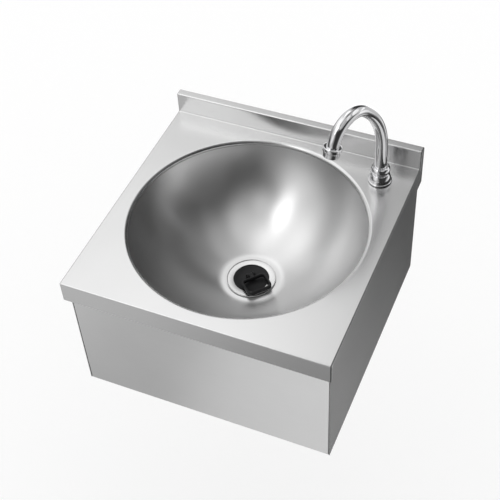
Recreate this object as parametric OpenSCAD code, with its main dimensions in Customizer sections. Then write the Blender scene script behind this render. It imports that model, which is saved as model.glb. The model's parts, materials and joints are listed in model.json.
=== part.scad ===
// Wall-hung stainless steel hand wash sink, worked by pressing its front panel with the knee.
// The origin is the centre of the four wall fixings, on the wall's face.
// X runs to the user's right, Y into the wall and Z up. All lengths are in millimetres.

/* [Deck] */
// Flat width between the bowl's lip and the deck's left or right edge
deck_side = 22; // [18:0.5:60]
// Flat width between the bowl's lip and the deck's front edge
deck_front = 19.5; // [16:0.5:60]
// Distance between the bowl's lip and the wall, with the splashback in it
deck_back = 24.5; // [20:0.5:70]
// Thickness of the deck's sheet
deck_t = 1.2; // [1:0.1:1.5]
// Height of the folded-down front and side bands
band_h = 34.5; // [26:0.5:50]
// Outer radius of the deck's folds
fold_r = 2; // [1.6:0.1:3]
// Height of the splashback above the deck
splash_h = 35; // [25:1:80]
// Depth of the splashback's top return
splash_d = 12; // [9:0.5:18]
// Height of the lip folded down behind the splashback
splash_lip_h = 12; // [6:0.5:18]

/* [Bowl] */
// Inside radius of the bowl's mouth
bowl_r = 173; // [145:1:210]
// Outside radius of the rolled lip round the mouth
lip_r = 5; // [4:0.5:7]
// Straight collar below the rolled lip
collar_run = 1.5; // [1:0.25:4]
// Depth from the deck's top to the waste's top
bowl_depth = 120; // [95:1:145]
// Radius of the bowl's flat floor
floor_r = 48; // [42:1:60]
// Thickness of the bowl's sheet
bowl_t = 1; // [0.8:0.1:1.2]

/* [Housing] */
// How far the housing reaches below the inlets' ends
housing_skirt = 10; // [6:1:60]
// Thickness of the side panels
side_t = 1; // [0.8:0.1:1.5]
// Inset of the side panels from the side bands' faces
side_inset = 5; // [3:0.5:7]
// Thickness of the back panel
back_t = 1.2; // [1:0.1:2]
// How far the back panel rises above the deck, inside the splashback
back_rise = 15; // [5:1:20]
// Width of the welded flanges
weld_flange = 16; // [10:1:20]
// Width of the service cut-out in the back panel
service_w = 170; // [120:5:200]
// Height of the service cut-out
service_h = 100; // [60:5:110]

/* [Wall fixings] */
// Depth from the deck's top to the upper fixings
fixing_top = 60; // [40:1:80]
// Height of the lower fixings above the housing's bottom edge
fixing_low = 40; // [25:1:60]
// Distance from the side panel's face to the nearer fixings
fixing_side = 45; // [30:1:60]
// Radius of a fixing hole
fixing_r = 4.25; // [3.25:0.25:5.5]

/* [Knee panel] */
// Inset of the panel's face from the front band's face
panel_setback = 11; // [9:0.5:14]
// Thickness of the panel's sheet
panel_t = 1.2; // [1:0.1:1.5]
// Outer radius of the panel's folds
panel_fold_r = 1.8; // [1.6:0.1:2.5]
// Gap between the panel and each side panel
panel_gap = 0.6; // [0.5:0.1:1]
// Depth of the side and bottom returns
return_d = 20; // [19:0.5:26]
// How far the panel tilts inwards when pressed, in degrees
press_angle = 3; // [2:0.25:3]
// Depth from the deck's top to the hinge axis
hinge_drop = 17; // [16:0.5:22]
// Distance from the panel's face to the hinge axis
hinge_back = 12; // [10:0.5:13]
// Radius of a hinge pin
hinge_pin_r = 3; // [2.5:0.25:3.5]
// Thickness of the rubber rest strips under the deck
rest_strip_t = 2; // [1.5:0.25:3]

/* [Valve] */
// Depth from the waste's top to the valve's axis
valve_below = 56; // [50:1:80]
// Thickness of the rubber pad on the panel
pad_t = 5; // [3:0.5:6]
// Radius of the rubber pad
pad_r = 12; // [9:0.5:16]
// Length of the plunger's button
button_len = 12; // [9:0.5:15]
// Radius of the plunger's button
button_r = 8.5; // [8:0.25:10]
// Radius of the plunger's stem
stem_r = 4; // [3:0.25:4.5]
// Length of the return spring at rest
spring_len = 22; // [20:0.5:26]
// Number of curls in the return spring
spring_curls = 7; // [5:1:8]
// Radius of the spring's wire
spring_wire_r = 0.7; // [0.5:0.05:0.8]
// Radius from the spring's axis to the middle of its wire
spring_coil_r = 6.8; // [6.25:0.05:7.2]
// Radius of the valve's body
valve_r = 18; // [17:0.5:20]
// Length of the valve's body behind the rail
valve_len = 48; // [46:1:56]
// Radius of the valve's threaded neck
neck_r = 12; // [11.5:0.5:13]
// Thickness of the rail's sheet
rail_t = 1.5; // [1.2:0.1:2]
// Height of the rail
rail_h = 50; // [46:1:60]
// Depth of the rail's folded flanges
rail_flange = 12; // [8:0.5:14]

/* [Water supply] */
// Distance from the valve's axis to the nearer inlet
inlet_first = 72; // [68:1:80]
// Distance between the two inlets
inlet_pitch = 50; // [45:1:60]
// Depth from the valve's axis to the inlets' ends
inlet_drop = 44; // [40:1:46]
// Length of thread on each inlet
inlet_thread_len = 14; // [12:0.5:16]
// Radius of the supply tube
tube_r = 5; // [4:0.25:5]
// Wall of the supply tube
tube_wall = 1; // [0.8:0.1:1.5]
// Radius of the supply tube's bends, to the tube's middle
tube_bend_r = 20; // [15:1:25]

/* [Spout] */
// Distance from the bowl's lip to the spout's axis
spout_gap = 33.8; // [28:0.2:45]
// Direction from the bowl's centre to the spout's axis, in degrees from +X
spout_bearing = 44.9; // [40:0.1:52]
// Direction the spout points in at rest, in degrees from +X
spout_heading = 250; // [200:5:290]
// Radius of the spout tube
spout_r = 9; // [8:0.25:10]
// Wall of the spout tube
spout_wall = 1.5; // [1:0.1:2]
// Height of the straight riser above the deck
riser_h = 63; // [50:1:90]
// Radius of the spout's first, gentle arc
arc_one_r = 135; // [110:1:160]
// Sweep of the first arc, in degrees
arc_one_sweep = 48; // [35:1:55]
// Radius of the spout's second, tight arc
arc_two_r = 40; // [30:1:50]
// Sweep of the second arc, in degrees
arc_two_sweep = 118; // [100:1:130]
// Straight run at the spout's end
tip_run = 5; // [4:0.5:15]
// Radius of the base's flange
base_r = 17.6; // [16:0.2:20]
// Radius of the swivel nut at its widest
swivel_nut_r = 14.4; // [13.5:0.1:16]
// Radius of the aerator's collar
aerator_r = 13.2; // [12.5:0.1:15]
// Length of the aerator's collar
aerator_collar_len = 7; // [5:0.5:9]
// Length of the aerator's lower body
aerator_nose_len = 8; // [5:0.5:10]

/* [Waste] */
// Radius of the waste's flange
waste_flange_r = 37.5; // [35:0.5:40]
// Thickness of the waste's flange
waste_flange_t = 1.5; // [1.2:0.1:2]
// Thickness of the seal between the flange and the bowl
upper_seal_t = 1; // [0.8:0.1:2]
// Inside radius of the cup that the plug sits in
cup_r = 27; // [25.5:0.25:28]
// Depth of that cup
cup_depth = 5; // [4:0.25:6]
// Wall of the waste's tube
waste_wall = 2.2; // [1.8:0.1:2.6]
// Length of thread left below the back nut for the trap
trap_thread_len = 22; // [16:1:24]

/* [Plug] */
// Thickness of the plug's disc
plug_disc_t = 2.7; // [2:0.1:3.4]
// Length of the plug's tapered body
plug_body_len = 9; // [6:0.5:12]
// Direction the handle lies in, in degrees from +X
handle_heading = -42; // [-180:1:180]
// Width of the handle's loop
handle_w = 36; // [30:0.5:38]
// Length of the handle's loop
handle_len = 25.5; // [20:0.5:27]
// Distance from the hinge pin to the loop
tongue_len = 10.5; // [8:0.5:12]
// Thickness of the handle
handle_t = 7; // [5:0.25:8]
// Width of the loop's bars
handle_bar = 4.5; // [3.5:0.25:5.5]
// Radius of the handle's hinge pin
handle_pin_r = 1.5; // [1:0.1:1.75]

/* [Hidden] */
$fn = 96;
// Overrun of every cut past the face it goes through
over = 1;
// Clearance between a turning or sliding part and its bore, on the radius
running = 0.05;
// Clearance between a seated or threaded part and what it fits, on the radius
seated = 0.05;
// Gap at which two parts on different bodies rest
touch_gap = 0.3;

// Standard pipe threads, at their crests: half-inch and inch-and-a-half
half_thread_r = 10.4775;
waste_thread_r = 23.9;

// Places of the deck and the housing
lip_start_r = bowl_r + lip_r;
deck_w = 2 * (lip_start_r + deck_side);
deck_d = deck_front + 2 * lip_start_r + deck_back;
bowl_y = -deck_back - lip_start_r;
valve_drop = bowl_depth + valve_below;
housing_h = valve_drop + inlet_drop + housing_skirt;
side_x = deck_w / 2 - side_inset;
side_in_x = side_x - side_t;
fixing_w = 2 * (side_x - fixing_side);
fixing_h = housing_h - fixing_top - fixing_low;
deck_z = fixing_top + fixing_h / 2;
deck_under = deck_z - deck_t;
bottom_z = deck_z - housing_h;
front_y = -deck_d;
cove_r = 1.5;
// Space kept between the housing's top flanges and the lip
lip_clear = 3;
top_flange = deck_side - side_inset - lip_clear;
// Width of the tap hole round the shank
tap_hole_gap = 0.5;
tap_hole_r = half_thread_r + tap_hole_gap;

// Places of the bowl: a ball through the collar's foot and the floor's edge
collar_h = lip_r + collar_run;
floor_depth = bowl_depth + waste_flange_t + upper_seal_t;
ball_up = (pow(bowl_r, 2) - pow(floor_r, 2) + pow(collar_h, 2) - pow(floor_depth, 2)) / (2 * (floor_depth - collar_h));
ball_r = sqrt(pow(bowl_r, 2) + pow(collar_h + ball_up, 2));

// Places of the knee panel
panel_y = front_y + panel_setback;
top_return_d = deck_front - panel_setback - lip_clear;
panel_w = 2 * (side_in_x - panel_gap);
panel_top = deck_under - rest_strip_t - touch_gap;
hinge_y = panel_y + hinge_back;
hinge_z = deck_z - hinge_drop;
bottom_travel = (hinge_z - bottom_z) * sin(press_angle);
// Bush pressed into each side return
bush_wall = 1.5;
bush_flange_t = 1;
bush_flange_r = 6.5;
bush_out = 0.3;
// Clip in a groove near each hinge pin's end
clip_t = 0.8;
clip_r = 5.5;
clip_groove_d = 0.8;
clip_slot_share = 0.75;
pin_tail = 2;
rest_strip_len = 60;
rest_strip_w = 4;
rest_strip_side = 40;

// Places along the valve's axis
valve_z = deck_z - valve_drop;
pad_y = panel_y + panel_t + pad_t;
tip_y = pad_y + touch_gap;
button_y = tip_y + button_len;
spring_y = button_y + spring_len;
bonnet_flange_t = 3;
neck_y = spring_y + bonnet_flange_t;
neck_len = 12;
shoulder_y = neck_y + neck_len;
valve_end_y = shoulder_y + valve_len;
lock_nut_t = 6;
lock_nut_flats = 32;
button_dome_r = 20;
press_travel = valve_drop - hinge_drop;
plunger_travel = press_travel * press_angle * PI / 180;
// Inside the valve: outlet chamber, seat wall, inlet chamber
bonnet_wall = 2.2;
bonnet_len = 8;
chamber_r = 13;
chamber_front = 4;
seat_back = 20;
seat_wall = 4;
seat_r = 6;
disc_r = 10;
disc_t = 3;
disc_nut_t = 3;
disc_nut_flats = 10;
end_wall = 4;
stem_seal_r = 1.2;
inlet_back = 12;
outlet_back = 9;
inlet_y = shoulder_y + seat_back + seat_wall + inlet_back;
outlet_y = shoulder_y + chamber_front + outlet_back;
port_bore_r = 5.5;
port_len = 16;
port_x = valve_r + port_len;
port_root = 6;
rail_slot_gap = 0.4;

// Union nuts, their gaskets and the flared ends that they hold
gasket_t = 1.5;
flare_t = 2;
flare_r = 9.5;
union_len = 14;
union_grip = 8;
union_flats = 26;
union_lip_gap = 0.3;
flare_x = port_x + gasket_t;

// Inlet manifold
manifold_r = 11;
manifold_bore_r = 6;
manifold_neck = 16;
manifold_start = flare_x + manifold_neck;
manifold_tail = 16;
manifold_end = inlet_first + inlet_pitch + manifold_tail;
leg_r = 12;
check_r = 7;
check_len = 12;
check_bore_r = 3;
check_seat_len = 16;

// Spout base, below and above the deck
// Tap hole is marked out to the half millimetre
place_step = 0.5;
spout_x = place_step * round(((lip_start_r + spout_gap) * cos(spout_bearing)) / place_step);
spout_y = place_step * round((bowl_y + (lip_start_r + spout_gap) * sin(spout_bearing)) / place_step);
base_flange_t = 2.5;
bell_top_r = 12.2;
bell_h = 14;
bell_inset = 1;
bell_round_r = 18;
base_groove_h = 1.5;
base_groove_r = 11.9;
spigot_r = 10.95;
spigot_h = 4;
socket_floor = 4;
waterway_r = 6;
shank_len = 52;
// Each stretch after a bend is drawn this much thinner on each face, and laps into the last one
drawn_step = 0.02;
arc_lap = 0.6;
tip_lap = 0.4;
base_seal_t = 1;
tube_ring_r = 10.9;
tube_ring_t = 2;
swivel_round_r = 8;
swivel_h = 12.5;
spout_seal_w = 2;
spout_seal_d = 1;
spout_seal_up = 3;
shank_rubber_t = 3;
shank_rubber_r = 17;
shank_washer_t = 1.5;
shank_washer_r = 18;
shank_nut_t = 8;
shank_nut_flats = 30;
shank_end = deck_under - shank_len;

// Spout heights above the deck
groove_z = deck_z + base_seal_t + bell_h;
spigot_z = groove_z + base_groove_h;
spigot_top = spigot_z + spigot_h;
ring_z = spigot_top + running;
swivel_z = spigot_z;
tube_foot = deck_z + base_seal_t + socket_floor + touch_gap;
riser_top = deck_z + riser_h;

// Aerator at the spout's end
aerator_grip = 5;
aerator_nose_r = 11.6;
aerator_wall = 1.5;
aerator_edge = 1;
insert_t = 6;
insert_hole_r = 0.9;
insert_ring_share = 0.62;
insert_holes = 8;

// Waste below the bowl
waste_z = deck_z - bowl_depth;
floor_z = deck_z - floor_depth;
cup_wall = 1.6;
cup_floor_t = 2;
cup_gap = 0.4;
seal_lip = 1;
cup_bottom = cup_depth + cup_floor_t;
lower_seal_t = 4;
lower_seal_r = 37;
slip_washer_t = 2;
back_nut_t = 12;
back_nut_r = 32;
back_nut_lugs = 6;
lug_w = 9;
lug_d = 4;
relief_len = 3;
relief_d = 0.8;
relief_gap = 4;
cross_drop = 20;
cross_w = 4;
cross_h = 4;
lower_seal_z = floor_z - bowl_t - lower_seal_t;
slip_z = lower_seal_z - slip_washer_t;
back_nut_z = slip_z - back_nut_t;
relief_z = back_nut_z - relief_gap - relief_len;
waste_end_z = relief_z - trap_thread_len;

// Plug, ears and handle
plug_gap = 0.4;
plug_taper = 1;
ear_t = 3;
ear_gap = 0.3;
ear_r = 4.2;
tongue_w = 6;
tongue_r = 3.6;
handle_corner_r = 6;
handle_rest = 0.4;
pin_back = 1.5;
plug_ledge = waste_z - cup_depth + touch_gap;
plug_top = plug_ledge + plug_disc_t;
handle_low = waste_z + handle_rest;
handle_pin_z = handle_low + handle_t / 2;
ear_out = tongue_w / 2 + ear_gap + ear_t;

steel = "#b9bcc0";
satin = "#a9acb0";
chrome = "#d4d8dc";
nickel = "#c2bfb4";
black = "#2a2a2c";
nylon = "#e8e6dc";
fibre = "#7d3b2e";

// Shared shapes

// Ring standing on its place, with a plain bore
module ring(outer, inner, height) {
    difference() {
        cylinder(r = outer, h = height);
        translate([0, 0, -over]) cylinder(r = inner, h = height + 2 * over);
    }
}

// Hexagon across its flats
module hexagon(flats, height) {
    cylinder(r = flats / (2 * cos(30)), h = height, $fn = 6);
}

// Turns what stands along Z so that it runs along +Y
module along_y() {
    rotate([-90, 0, 0]) children();
}

// Turns what stands along Z so that it runs along +X, or along -X
module along_x(side = 1) {
    rotate([0, side * 90, 0]) children();
}

// Upright outline, centred across, with both top corners rounded
module arch_outline(width, height, radius) {
    translate([-width / 2, 0]) square([width, height - radius]);
    translate([-width / 2 + radius, 0]) square([width - 2 * radius, height]);
    for (side = [-1, 1]) translate([side * (width / 2 - radius), height - radius]) circle(radius);
}

// Outline from the front at -depth to the rear at zero, with its upper front corner rounded
module front_outline(depth, height, radius) {
    translate([-depth, 0]) square([depth, height - radius]);
    translate([-depth + radius, 0]) square([depth - radius, height]);
    translate([-depth + radius, height - radius]) circle(radius);
}

// Sheet metal block with rounded top folds and rounded front corners
module folded_block(width, depth, height, radius) {
    intersection() {
        rotate([90, 0, 0]) linear_extrude(depth) arch_outline(width, height, radius);
        rotate([90, 0, 90]) translate([0, 0, -width / 2]) linear_extrude(width) front_outline(depth, height, radius);
        linear_extrude(height) mirror([0, 1]) arch_outline(width, depth, radius);
    }
}

// Deck, front and side bands, splashback and rolled lip, folded from one sheet
module deck_skin() {
    translate([0, 0, deck_z - band_h]) folded_block(deck_w, deck_d, band_h, fold_r);
    translate([0, 0, deck_z - band_h]) folded_block(deck_w, splash_d, band_h + splash_h, fold_r);
}

module deck_hollow() {
    inner_r = fold_r - deck_t;
    inner_w = deck_w - 2 * deck_t;
    translate([0, 0, deck_z - band_h - over]) {
        folded_block(inner_w, deck_d - deck_t, band_h + over - deck_t, inner_r);
        translate([0, -deck_t, 0])
            folded_block(inner_w, splash_d - 2 * deck_t, band_h + splash_h + over - deck_t, inner_r);
        translate([-inner_w / 2, -splash_d + deck_t, 0])
            cube([inner_w, splash_d - deck_t + over, band_h + splash_h - splash_lip_h + over]);
    }
}

// Small concave fold where the deck turns up into the splashback
module deck_cove() {
    translate([-deck_w / 2 + fold_r, -splash_d, deck_z])
        rotate([90, 0, 90])
            linear_extrude(deck_w - 2 * fold_r)
                difference() {
                    translate([-cove_r, -deck_t / 2]) square([cove_r + deck_t / 2, cove_r + deck_t / 2]);
                    translate([-cove_r, cove_r]) circle(cove_r);
                }
}

module lip_outline() {
    intersection() {
        translate([lip_start_r, -lip_r])
            difference() {
                circle(lip_r);
                circle(lip_r - deck_t);
            }
        translate([bowl_r, -lip_r]) square([lip_r, lip_r]);
    }
    translate([lip_start_r - seated, -deck_t]) square([deck_t, deck_t]);
    translate([bowl_r, -collar_h]) square([deck_t, collar_run]);
}

module deck() {
    color(steel) {
        difference() {
            deck_skin();
            deck_hollow();
            translate([0, bowl_y, deck_under - over]) cylinder(r = lip_start_r, h = deck_t + 2 * over);
            translate([spout_x, spout_y, deck_under - over]) cylinder(r = tap_hole_r, h = deck_t + 2 * over);
        }
        deck_cove();
        translate([0, bowl_y, deck_z]) rotate_extrude() lip_outline();
    }
}

// Bowl: part of a ball, with a flat floor round the waste
module bowl_outline(grow) {
    intersection() {
        translate([0, ball_up]) circle(ball_r + grow);
        translate([0, -floor_depth - grow]) square([bowl_r + grow + over, floor_depth + grow - collar_h]);
    }
}

module bowl() {
    color(satin)
        translate([0, bowl_y, deck_z])
            difference() {
                rotate_extrude() bowl_outline(bowl_t);
                rotate_extrude() bowl_outline(0);
                translate([0, 0, -collar_h - over]) cylinder(r = bowl_r, h = 2 * over);
                translate([0, 0, -floor_depth - bowl_t - over])
                    cylinder(r = cup_r + cup_wall + cup_gap, h = bowl_t + 2 * over);
            }
}

// Side panels, flanged at the top, the back and the bottom. side is 1 on the right.
module side_panel(side) {
    sheet_h = deck_under - bottom_z;
    foot_y = panel_y + return_d + bottom_travel + weld_flange / 4;
    rear_y = -back_t - side_t;
    color(steel)
        mirror([side < 0 ? 1 : 0, 0, 0]) {
            translate([side_in_x, panel_y, bottom_z]) cube([side_t, -panel_y, sheet_h]);
            translate([side_x - top_flange, panel_y + return_d, deck_under - side_t])
                cube([top_flange, rear_y - panel_y - return_d, side_t]);
            translate([side_x - weld_flange, rear_y, bottom_z]) cube([weld_flange, side_t, sheet_h]);
            translate([side_x - weld_flange, foot_y, bottom_z]) cube([weld_flange, -foot_y - back_t, side_t]);
        }
}

module side_panel_left() {
    side_panel(-1);
}

module side_panel_right() {
    side_panel(1);
}

// Back panel with the four wall fixings and the service cut-out
module back_panel() {
    width = 2 * (side_in_x - seated);
    cut_z = bottom_z + weld_flange;
    color(steel)
        difference() {
            translate([-width / 2, -back_t, bottom_z]) cube([width, back_t, deck_z + back_rise - bottom_z]);
            translate([-service_w / 2, -back_t - over, cut_z]) cube([service_w, back_t + 2 * over, service_h]);
            for (x = [-fixing_w / 2, fixing_w / 2], z = [-fixing_h / 2, fixing_h / 2])
                translate([x, -back_t - over, z]) along_y() cylinder(r = fixing_r, h = back_t + 2 * over);
        }
}

// Cross rail that carries the valve, welded between the side panels
module valve_rail() {
    low = valve_z - rail_h / 2;
    color(steel)
        difference() {
            union() {
                translate([-side_in_x, shoulder_y - rail_t, low]) cube([2 * side_in_x, rail_t, rail_h]);
                for (z = [low, low + rail_h - rail_t])
                    translate([-side_in_x + rail_t, shoulder_y, z])
                        cube([2 * (side_in_x - rail_t), rail_flange, rail_t]);
                for (x = [-side_in_x, side_in_x - rail_t])
                    translate([x, shoulder_y, low]) cube([rail_t, rail_flange, rail_h]);
            }
            translate([0, shoulder_y - rail_t - over, valve_z])
                along_y() cylinder(r = neck_r + rail_slot_gap, h = rail_t + 2 * over);
        }
}

// Rubber strips under the deck, which the panel's top return rests against
module rest_strips() {
    color(black)
        for (side = [-1, 1])
            translate([side * (side_in_x - rest_strip_side) - rest_strip_len / 2,
                       panel_y + (top_return_d - rest_strip_w) / 2, deck_under - rest_strip_t])
                cube([rest_strip_len, rest_strip_w, rest_strip_t]);
}

// Places a child on the hinge axis at each side, its Z pointing inwards from the side panel's face
module at_hinges() {
    for (side = [-1, 1])
        translate([side * side_in_x, hinge_y, hinge_z]) along_x(-side) children();
}

clip_at = panel_gap + panel_t + bush_flange_t + touch_gap;

module hinge_pins() {
    color(steel)
        at_hinges()
            difference() {
                cylinder(r = hinge_pin_r, h = clip_at + clip_t + pin_tail);
                translate([0, 0, clip_at]) ring(hinge_pin_r + over, hinge_pin_r - clip_groove_d, clip_t);
            }
}

module hinge_clips() {
    color(steel)
        at_hinges()
            translate([0, 0, clip_at + seated])
                difference() {
                    ring(clip_r, hinge_pin_r - clip_groove_d + seated, clip_t - 2 * seated);
                    slot = 2 * (hinge_pin_r - clip_groove_d) * clip_slot_share;
                    translate([-slot / 2, 0, -over]) cube([slot, clip_r + over, clip_t + 2 * over]);
                }
}

module hinge_bushes() {
    bore = hinge_pin_r + running;
    color(nylon)
        at_hinges() {
            translate([0, 0, panel_gap - bush_out]) ring(bore + bush_wall, bore, bush_out + panel_t + seated);
            translate([0, 0, panel_gap + panel_t]) ring(bush_flange_r, bore, bush_flange_t);
        }
}

// Outline of the knee panel seen from above, its face at zero and its front corners rounded
module tray_outline(width, depth, radius) {
    mirror([0, 1]) translate([0, -depth]) arch_outline(width, depth, radius);
}

// Outline of the knee panel seen from its side, both front corners rounded
module tray_side(depth, height, radius) {
    translate([radius, 0]) square([depth - radius, height]);
    translate([0, radius]) square([depth, height - 2 * radius]);
    for (z = [radius, height - radius]) translate([radius, z]) circle(radius);
}

module tray_block(width, depth, height, radius) {
    intersection() {
        linear_extrude(height) tray_outline(width, depth, radius);
        rotate([90, 0, 90]) translate([0, 0, -width / 2]) linear_extrude(width) tray_side(depth, height, radius);
    }
}

// Knee panel: the front of the housing, hinged behind its top edge
module knee_panel() {
    height = panel_top - bottom_z;
    inner_w = panel_w - 2 * panel_t;
    color(steel)
        difference() {
            translate([0, panel_y, bottom_z]) tray_block(panel_w, return_d, height, panel_fold_r);
            translate([0, panel_y + panel_t, bottom_z + panel_t])
                tray_block(inner_w, return_d + over, height - 2 * panel_t, panel_fold_r - panel_t);
            translate([-inner_w / 2, panel_y + top_return_d, panel_top - panel_fold_r - over])
                cube([inner_w, return_d + over, panel_fold_r + 2 * over]);
            at_hinges() cylinder(r = hinge_pin_r + running + bush_wall + seated, h = panel_gap + panel_t + over);
        }
}

// Rubber pad stuck behind the panel, in line with the plunger
module knee_pad() {
    color(black) translate([0, panel_y + panel_t, valve_z]) along_y() cylinder(r = pad_r, h = pad_t);
}

// Valve body: threaded neck, two chambers with a seat between them, two side ports
module valve_body() {
    color(nickel)
        difference() {
            union() {
                translate([0, neck_y, valve_z]) along_y() cylinder(r = neck_r, h = neck_len + over);
                translate([0, shoulder_y, valve_z]) along_y() cylinder(r = valve_r, h = valve_len);
                translate([0, outlet_y, valve_z]) along_x(1) cylinder(r = half_thread_r, h = port_x);
                translate([0, inlet_y, valve_z]) along_x(-1) cylinder(r = half_thread_r, h = port_x);
            }
            translate([0, neck_y - over, valve_z])
                along_y() cylinder(r = neck_r - bonnet_wall, h = neck_len + chamber_front + over);
            translate([0, shoulder_y + chamber_front, valve_z])
                along_y() cylinder(r = chamber_r, h = seat_back - chamber_front);
            translate([0, shoulder_y, valve_z]) along_y() cylinder(r = seat_r, h = valve_len - end_wall);
            translate([0, shoulder_y + seat_back + seat_wall, valve_z])
                along_y() cylinder(r = chamber_r, h = valve_len - end_wall - seat_back - seat_wall);
            translate([0, outlet_y, valve_z]) along_x(1) cylinder(r = port_bore_r, h = port_x + over);
            translate([0, inlet_y, valve_z]) along_x(-1) cylinder(r = port_bore_r, h = port_x + over);
        }
}

// Bonnet screwed into the neck, which guides the stem and holds its seal
module valve_bonnet() {
    plug_r = neck_r - bonnet_wall - seated;
    color(nickel)
        translate([0, spring_y, valve_z])
            along_y()
                difference() {
                    union() {
                        cylinder(r = neck_r, h = bonnet_flange_t);
                        translate([0, 0, bonnet_flange_t - seated]) cylinder(r = plug_r, h = bonnet_len);
                    }
                    translate([0, 0, -over]) cylinder(r = stem_r + running, h = bonnet_flange_t + bonnet_len + 2 * over);
                    translate([0, 0, bonnet_flange_t])
                        cylinder(r = stem_r + 2 * stem_seal_r + seated, h = 2 * (stem_seal_r + seated));
                }
}

module stem_seal() {
    color(black)
        translate([0, spring_y + bonnet_flange_t + stem_seal_r + seated, valve_z])
            along_y() rotate_extrude() translate([stem_r + running + stem_seal_r, 0]) circle(stem_seal_r);
}

module valve_lock_nut() {
    color(nickel)
        translate([0, shoulder_y - rail_t - lock_nut_t, valve_z])
            along_y()
                difference() {
                    hexagon(lock_nut_flats, lock_nut_t);
                    translate([0, 0, -over]) cylinder(r = neck_r + seated, h = lock_nut_t + 2 * over);
                }
}

// Places along the stem, from its tip
disc_at = shoulder_y + seat_back + seat_wall + touch_gap;
stem_step = 1;
stem_step_r = stem_r - stem_step;

// Plunger: domed button and the stem that opens the valve
module valve_plunger() {
    color(chrome)
        translate([0, tip_y, valve_z])
            along_y() {
                intersection() {
                    cylinder(r = button_r, h = button_len);
                    translate([0, 0, button_dome_r]) sphere(button_dome_r);
                }
                translate([0, 0, button_len - over]) cylinder(r = stem_r, h = disc_at - button_y + over);
                translate([0, 0, disc_at - tip_y - over])
                    cylinder(r = stem_step_r, h = disc_t + disc_nut_t + over);
            }
}

module valve_disc() {
    color(black) translate([0, disc_at, valve_z]) along_y() ring(disc_r, stem_step_r + seated, disc_t);
}

module disc_nut() {
    color(nickel)
        translate([0, disc_at + disc_t, valve_z])
            along_y()
                difference() {
                    hexagon(disc_nut_flats, disc_nut_t);
                    translate([0, 0, -over]) cylinder(r = stem_step_r + seated, h = disc_nut_t + 2 * over);
                }
}

// Return spring: one unbroken tube wound round the stem
spring_sides = 6;
rings_per_curl = 8;
spring_rings = spring_curls * rings_per_curl;
spring_run = spring_len - 2 * (spring_wire_r + seated);
spring_pitch = spring_run / spring_curls;
spring_slope = atan(spring_pitch / (2 * PI * spring_coil_r));

function spring_mid(i) =
    let (turn = 360 * i / rings_per_curl)
    [spring_coil_r * cos(turn), spring_coil_r * sin(turn), spring_wire_r + seated + spring_run * i / spring_rings];

function spring_ring(i) =
    let (turn = 360 * i / rings_per_curl, out = [cos(turn), sin(turn), 0],
         lean = [sin(turn) * sin(spring_slope), -cos(turn) * sin(spring_slope), cos(spring_slope)])
    [for (k = [0 : spring_sides - 1])
        let (a = 360 * k / spring_sides)
        spring_mid(i) + spring_wire_r * (cos(a) * out + sin(a) * lean)];

function spring_faces() = concat(
    [[for (k = [0 : spring_sides - 1]) k]],
    [for (i = [0 : spring_rings - 1], k = [0 : spring_sides - 1])
        let (a = i * spring_sides + k, b = i * spring_sides + (k + 1) % spring_sides)
        each [[a, a + spring_sides, b], [b, a + spring_sides, b + spring_sides]]],
    [[for (k = [spring_sides - 1 : -1 : 0]) spring_rings * spring_sides + k]]
);

spring_mids = [for (i = [0 : spring_rings]) spring_mid(i)];
spring_gap = min([for (i = [0 : spring_rings], j = [0 : spring_rings])
    if (j - i >= rings_per_curl - 2) norm(spring_mids[j] - spring_mids[i])]) - 2 * spring_wire_r;
echo(least_gap_between_curls = spring_gap);

module return_spring() {
    color(steel)
        translate([0, button_y, valve_z])
            along_y()
                polyhedron([for (i = [0 : spring_rings]) each spring_ring(i)], spring_faces());
}

// Inlet manifold on the valve's left, with a leg for each supply
module inlet_manifold() {
    leg_x = [-inlet_first, -inlet_first - inlet_pitch];
    color(nickel)
        translate([0, inlet_y, valve_z])
            difference() {
                union() {
                    translate([-flare_x, 0, 0]) along_x(-1) cylinder(r = flare_r, h = flare_t);
                    translate([-flare_x, 0, 0]) along_x(-1) cylinder(r = tube_r, h = manifold_start - flare_x + over);
                    translate([-manifold_start, 0, 0])
                        along_x(-1) cylinder(r = manifold_r, h = manifold_end - manifold_start);
                    for (x = leg_x) {
                        translate([x, 0, -inlet_drop]) cylinder(r = half_thread_r, h = inlet_drop);
                        translate([x, 0, -inlet_drop + inlet_thread_len])
                            cylinder(r = leg_r, h = inlet_drop - inlet_thread_len);
                    }
                }
                translate([-flare_x + over, 0, 0])
                    along_x(-1) cylinder(r = tube_r - tube_wall, h = manifold_start - flare_x + 2 * over);
                translate([-manifold_start - tube_wall, 0, 0])
                    along_x(-1) cylinder(r = manifold_bore_r, h = manifold_end - manifold_start - manifold_bore_r);
                for (x = leg_x) {
                    translate([x, 0, -inlet_drop - over]) cylinder(r = manifold_bore_r, h = inlet_drop + over);
                    translate([x, 0, -inlet_drop - over])
                        cylinder(r = check_r + seated, h = check_seat_len + over);
                }
            }
}

// Check valve cartridge in each leg
module check_valves() {
    color(nylon)
        for (x = [-inlet_first, -inlet_first - inlet_pitch])
            translate([x, inlet_y, valve_z - inlet_drop + check_seat_len - check_len])
                ring(check_r, check_bore_r, check_len);
}

// Places a child on each threaded end that takes a union nut, its Z pointing out along the tube
module at_unions() {
    translate([port_x, outlet_y, valve_z]) along_x(1) children();
    translate([-port_x, inlet_y, valve_z]) along_x(-1) children();
    translate([spout_x, spout_y, shank_end]) mirror([0, 0, 1]) children();
}

module union_nuts() {
    back = gasket_t + flare_t;
    color(nickel)
        at_unions()
            difference() {
                translate([0, 0, -union_grip]) hexagon(union_flats, union_len);
                translate([0, 0, -union_grip - over])
                    cylinder(r = half_thread_r + seated, h = union_grip + back + seated + over);
                cylinder(r = tube_r + union_lip_gap, h = union_len + over);
            }
}

module union_gaskets() {
    color(fibre) at_unions() ring(flare_r, tube_r, gasket_t);
}

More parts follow.
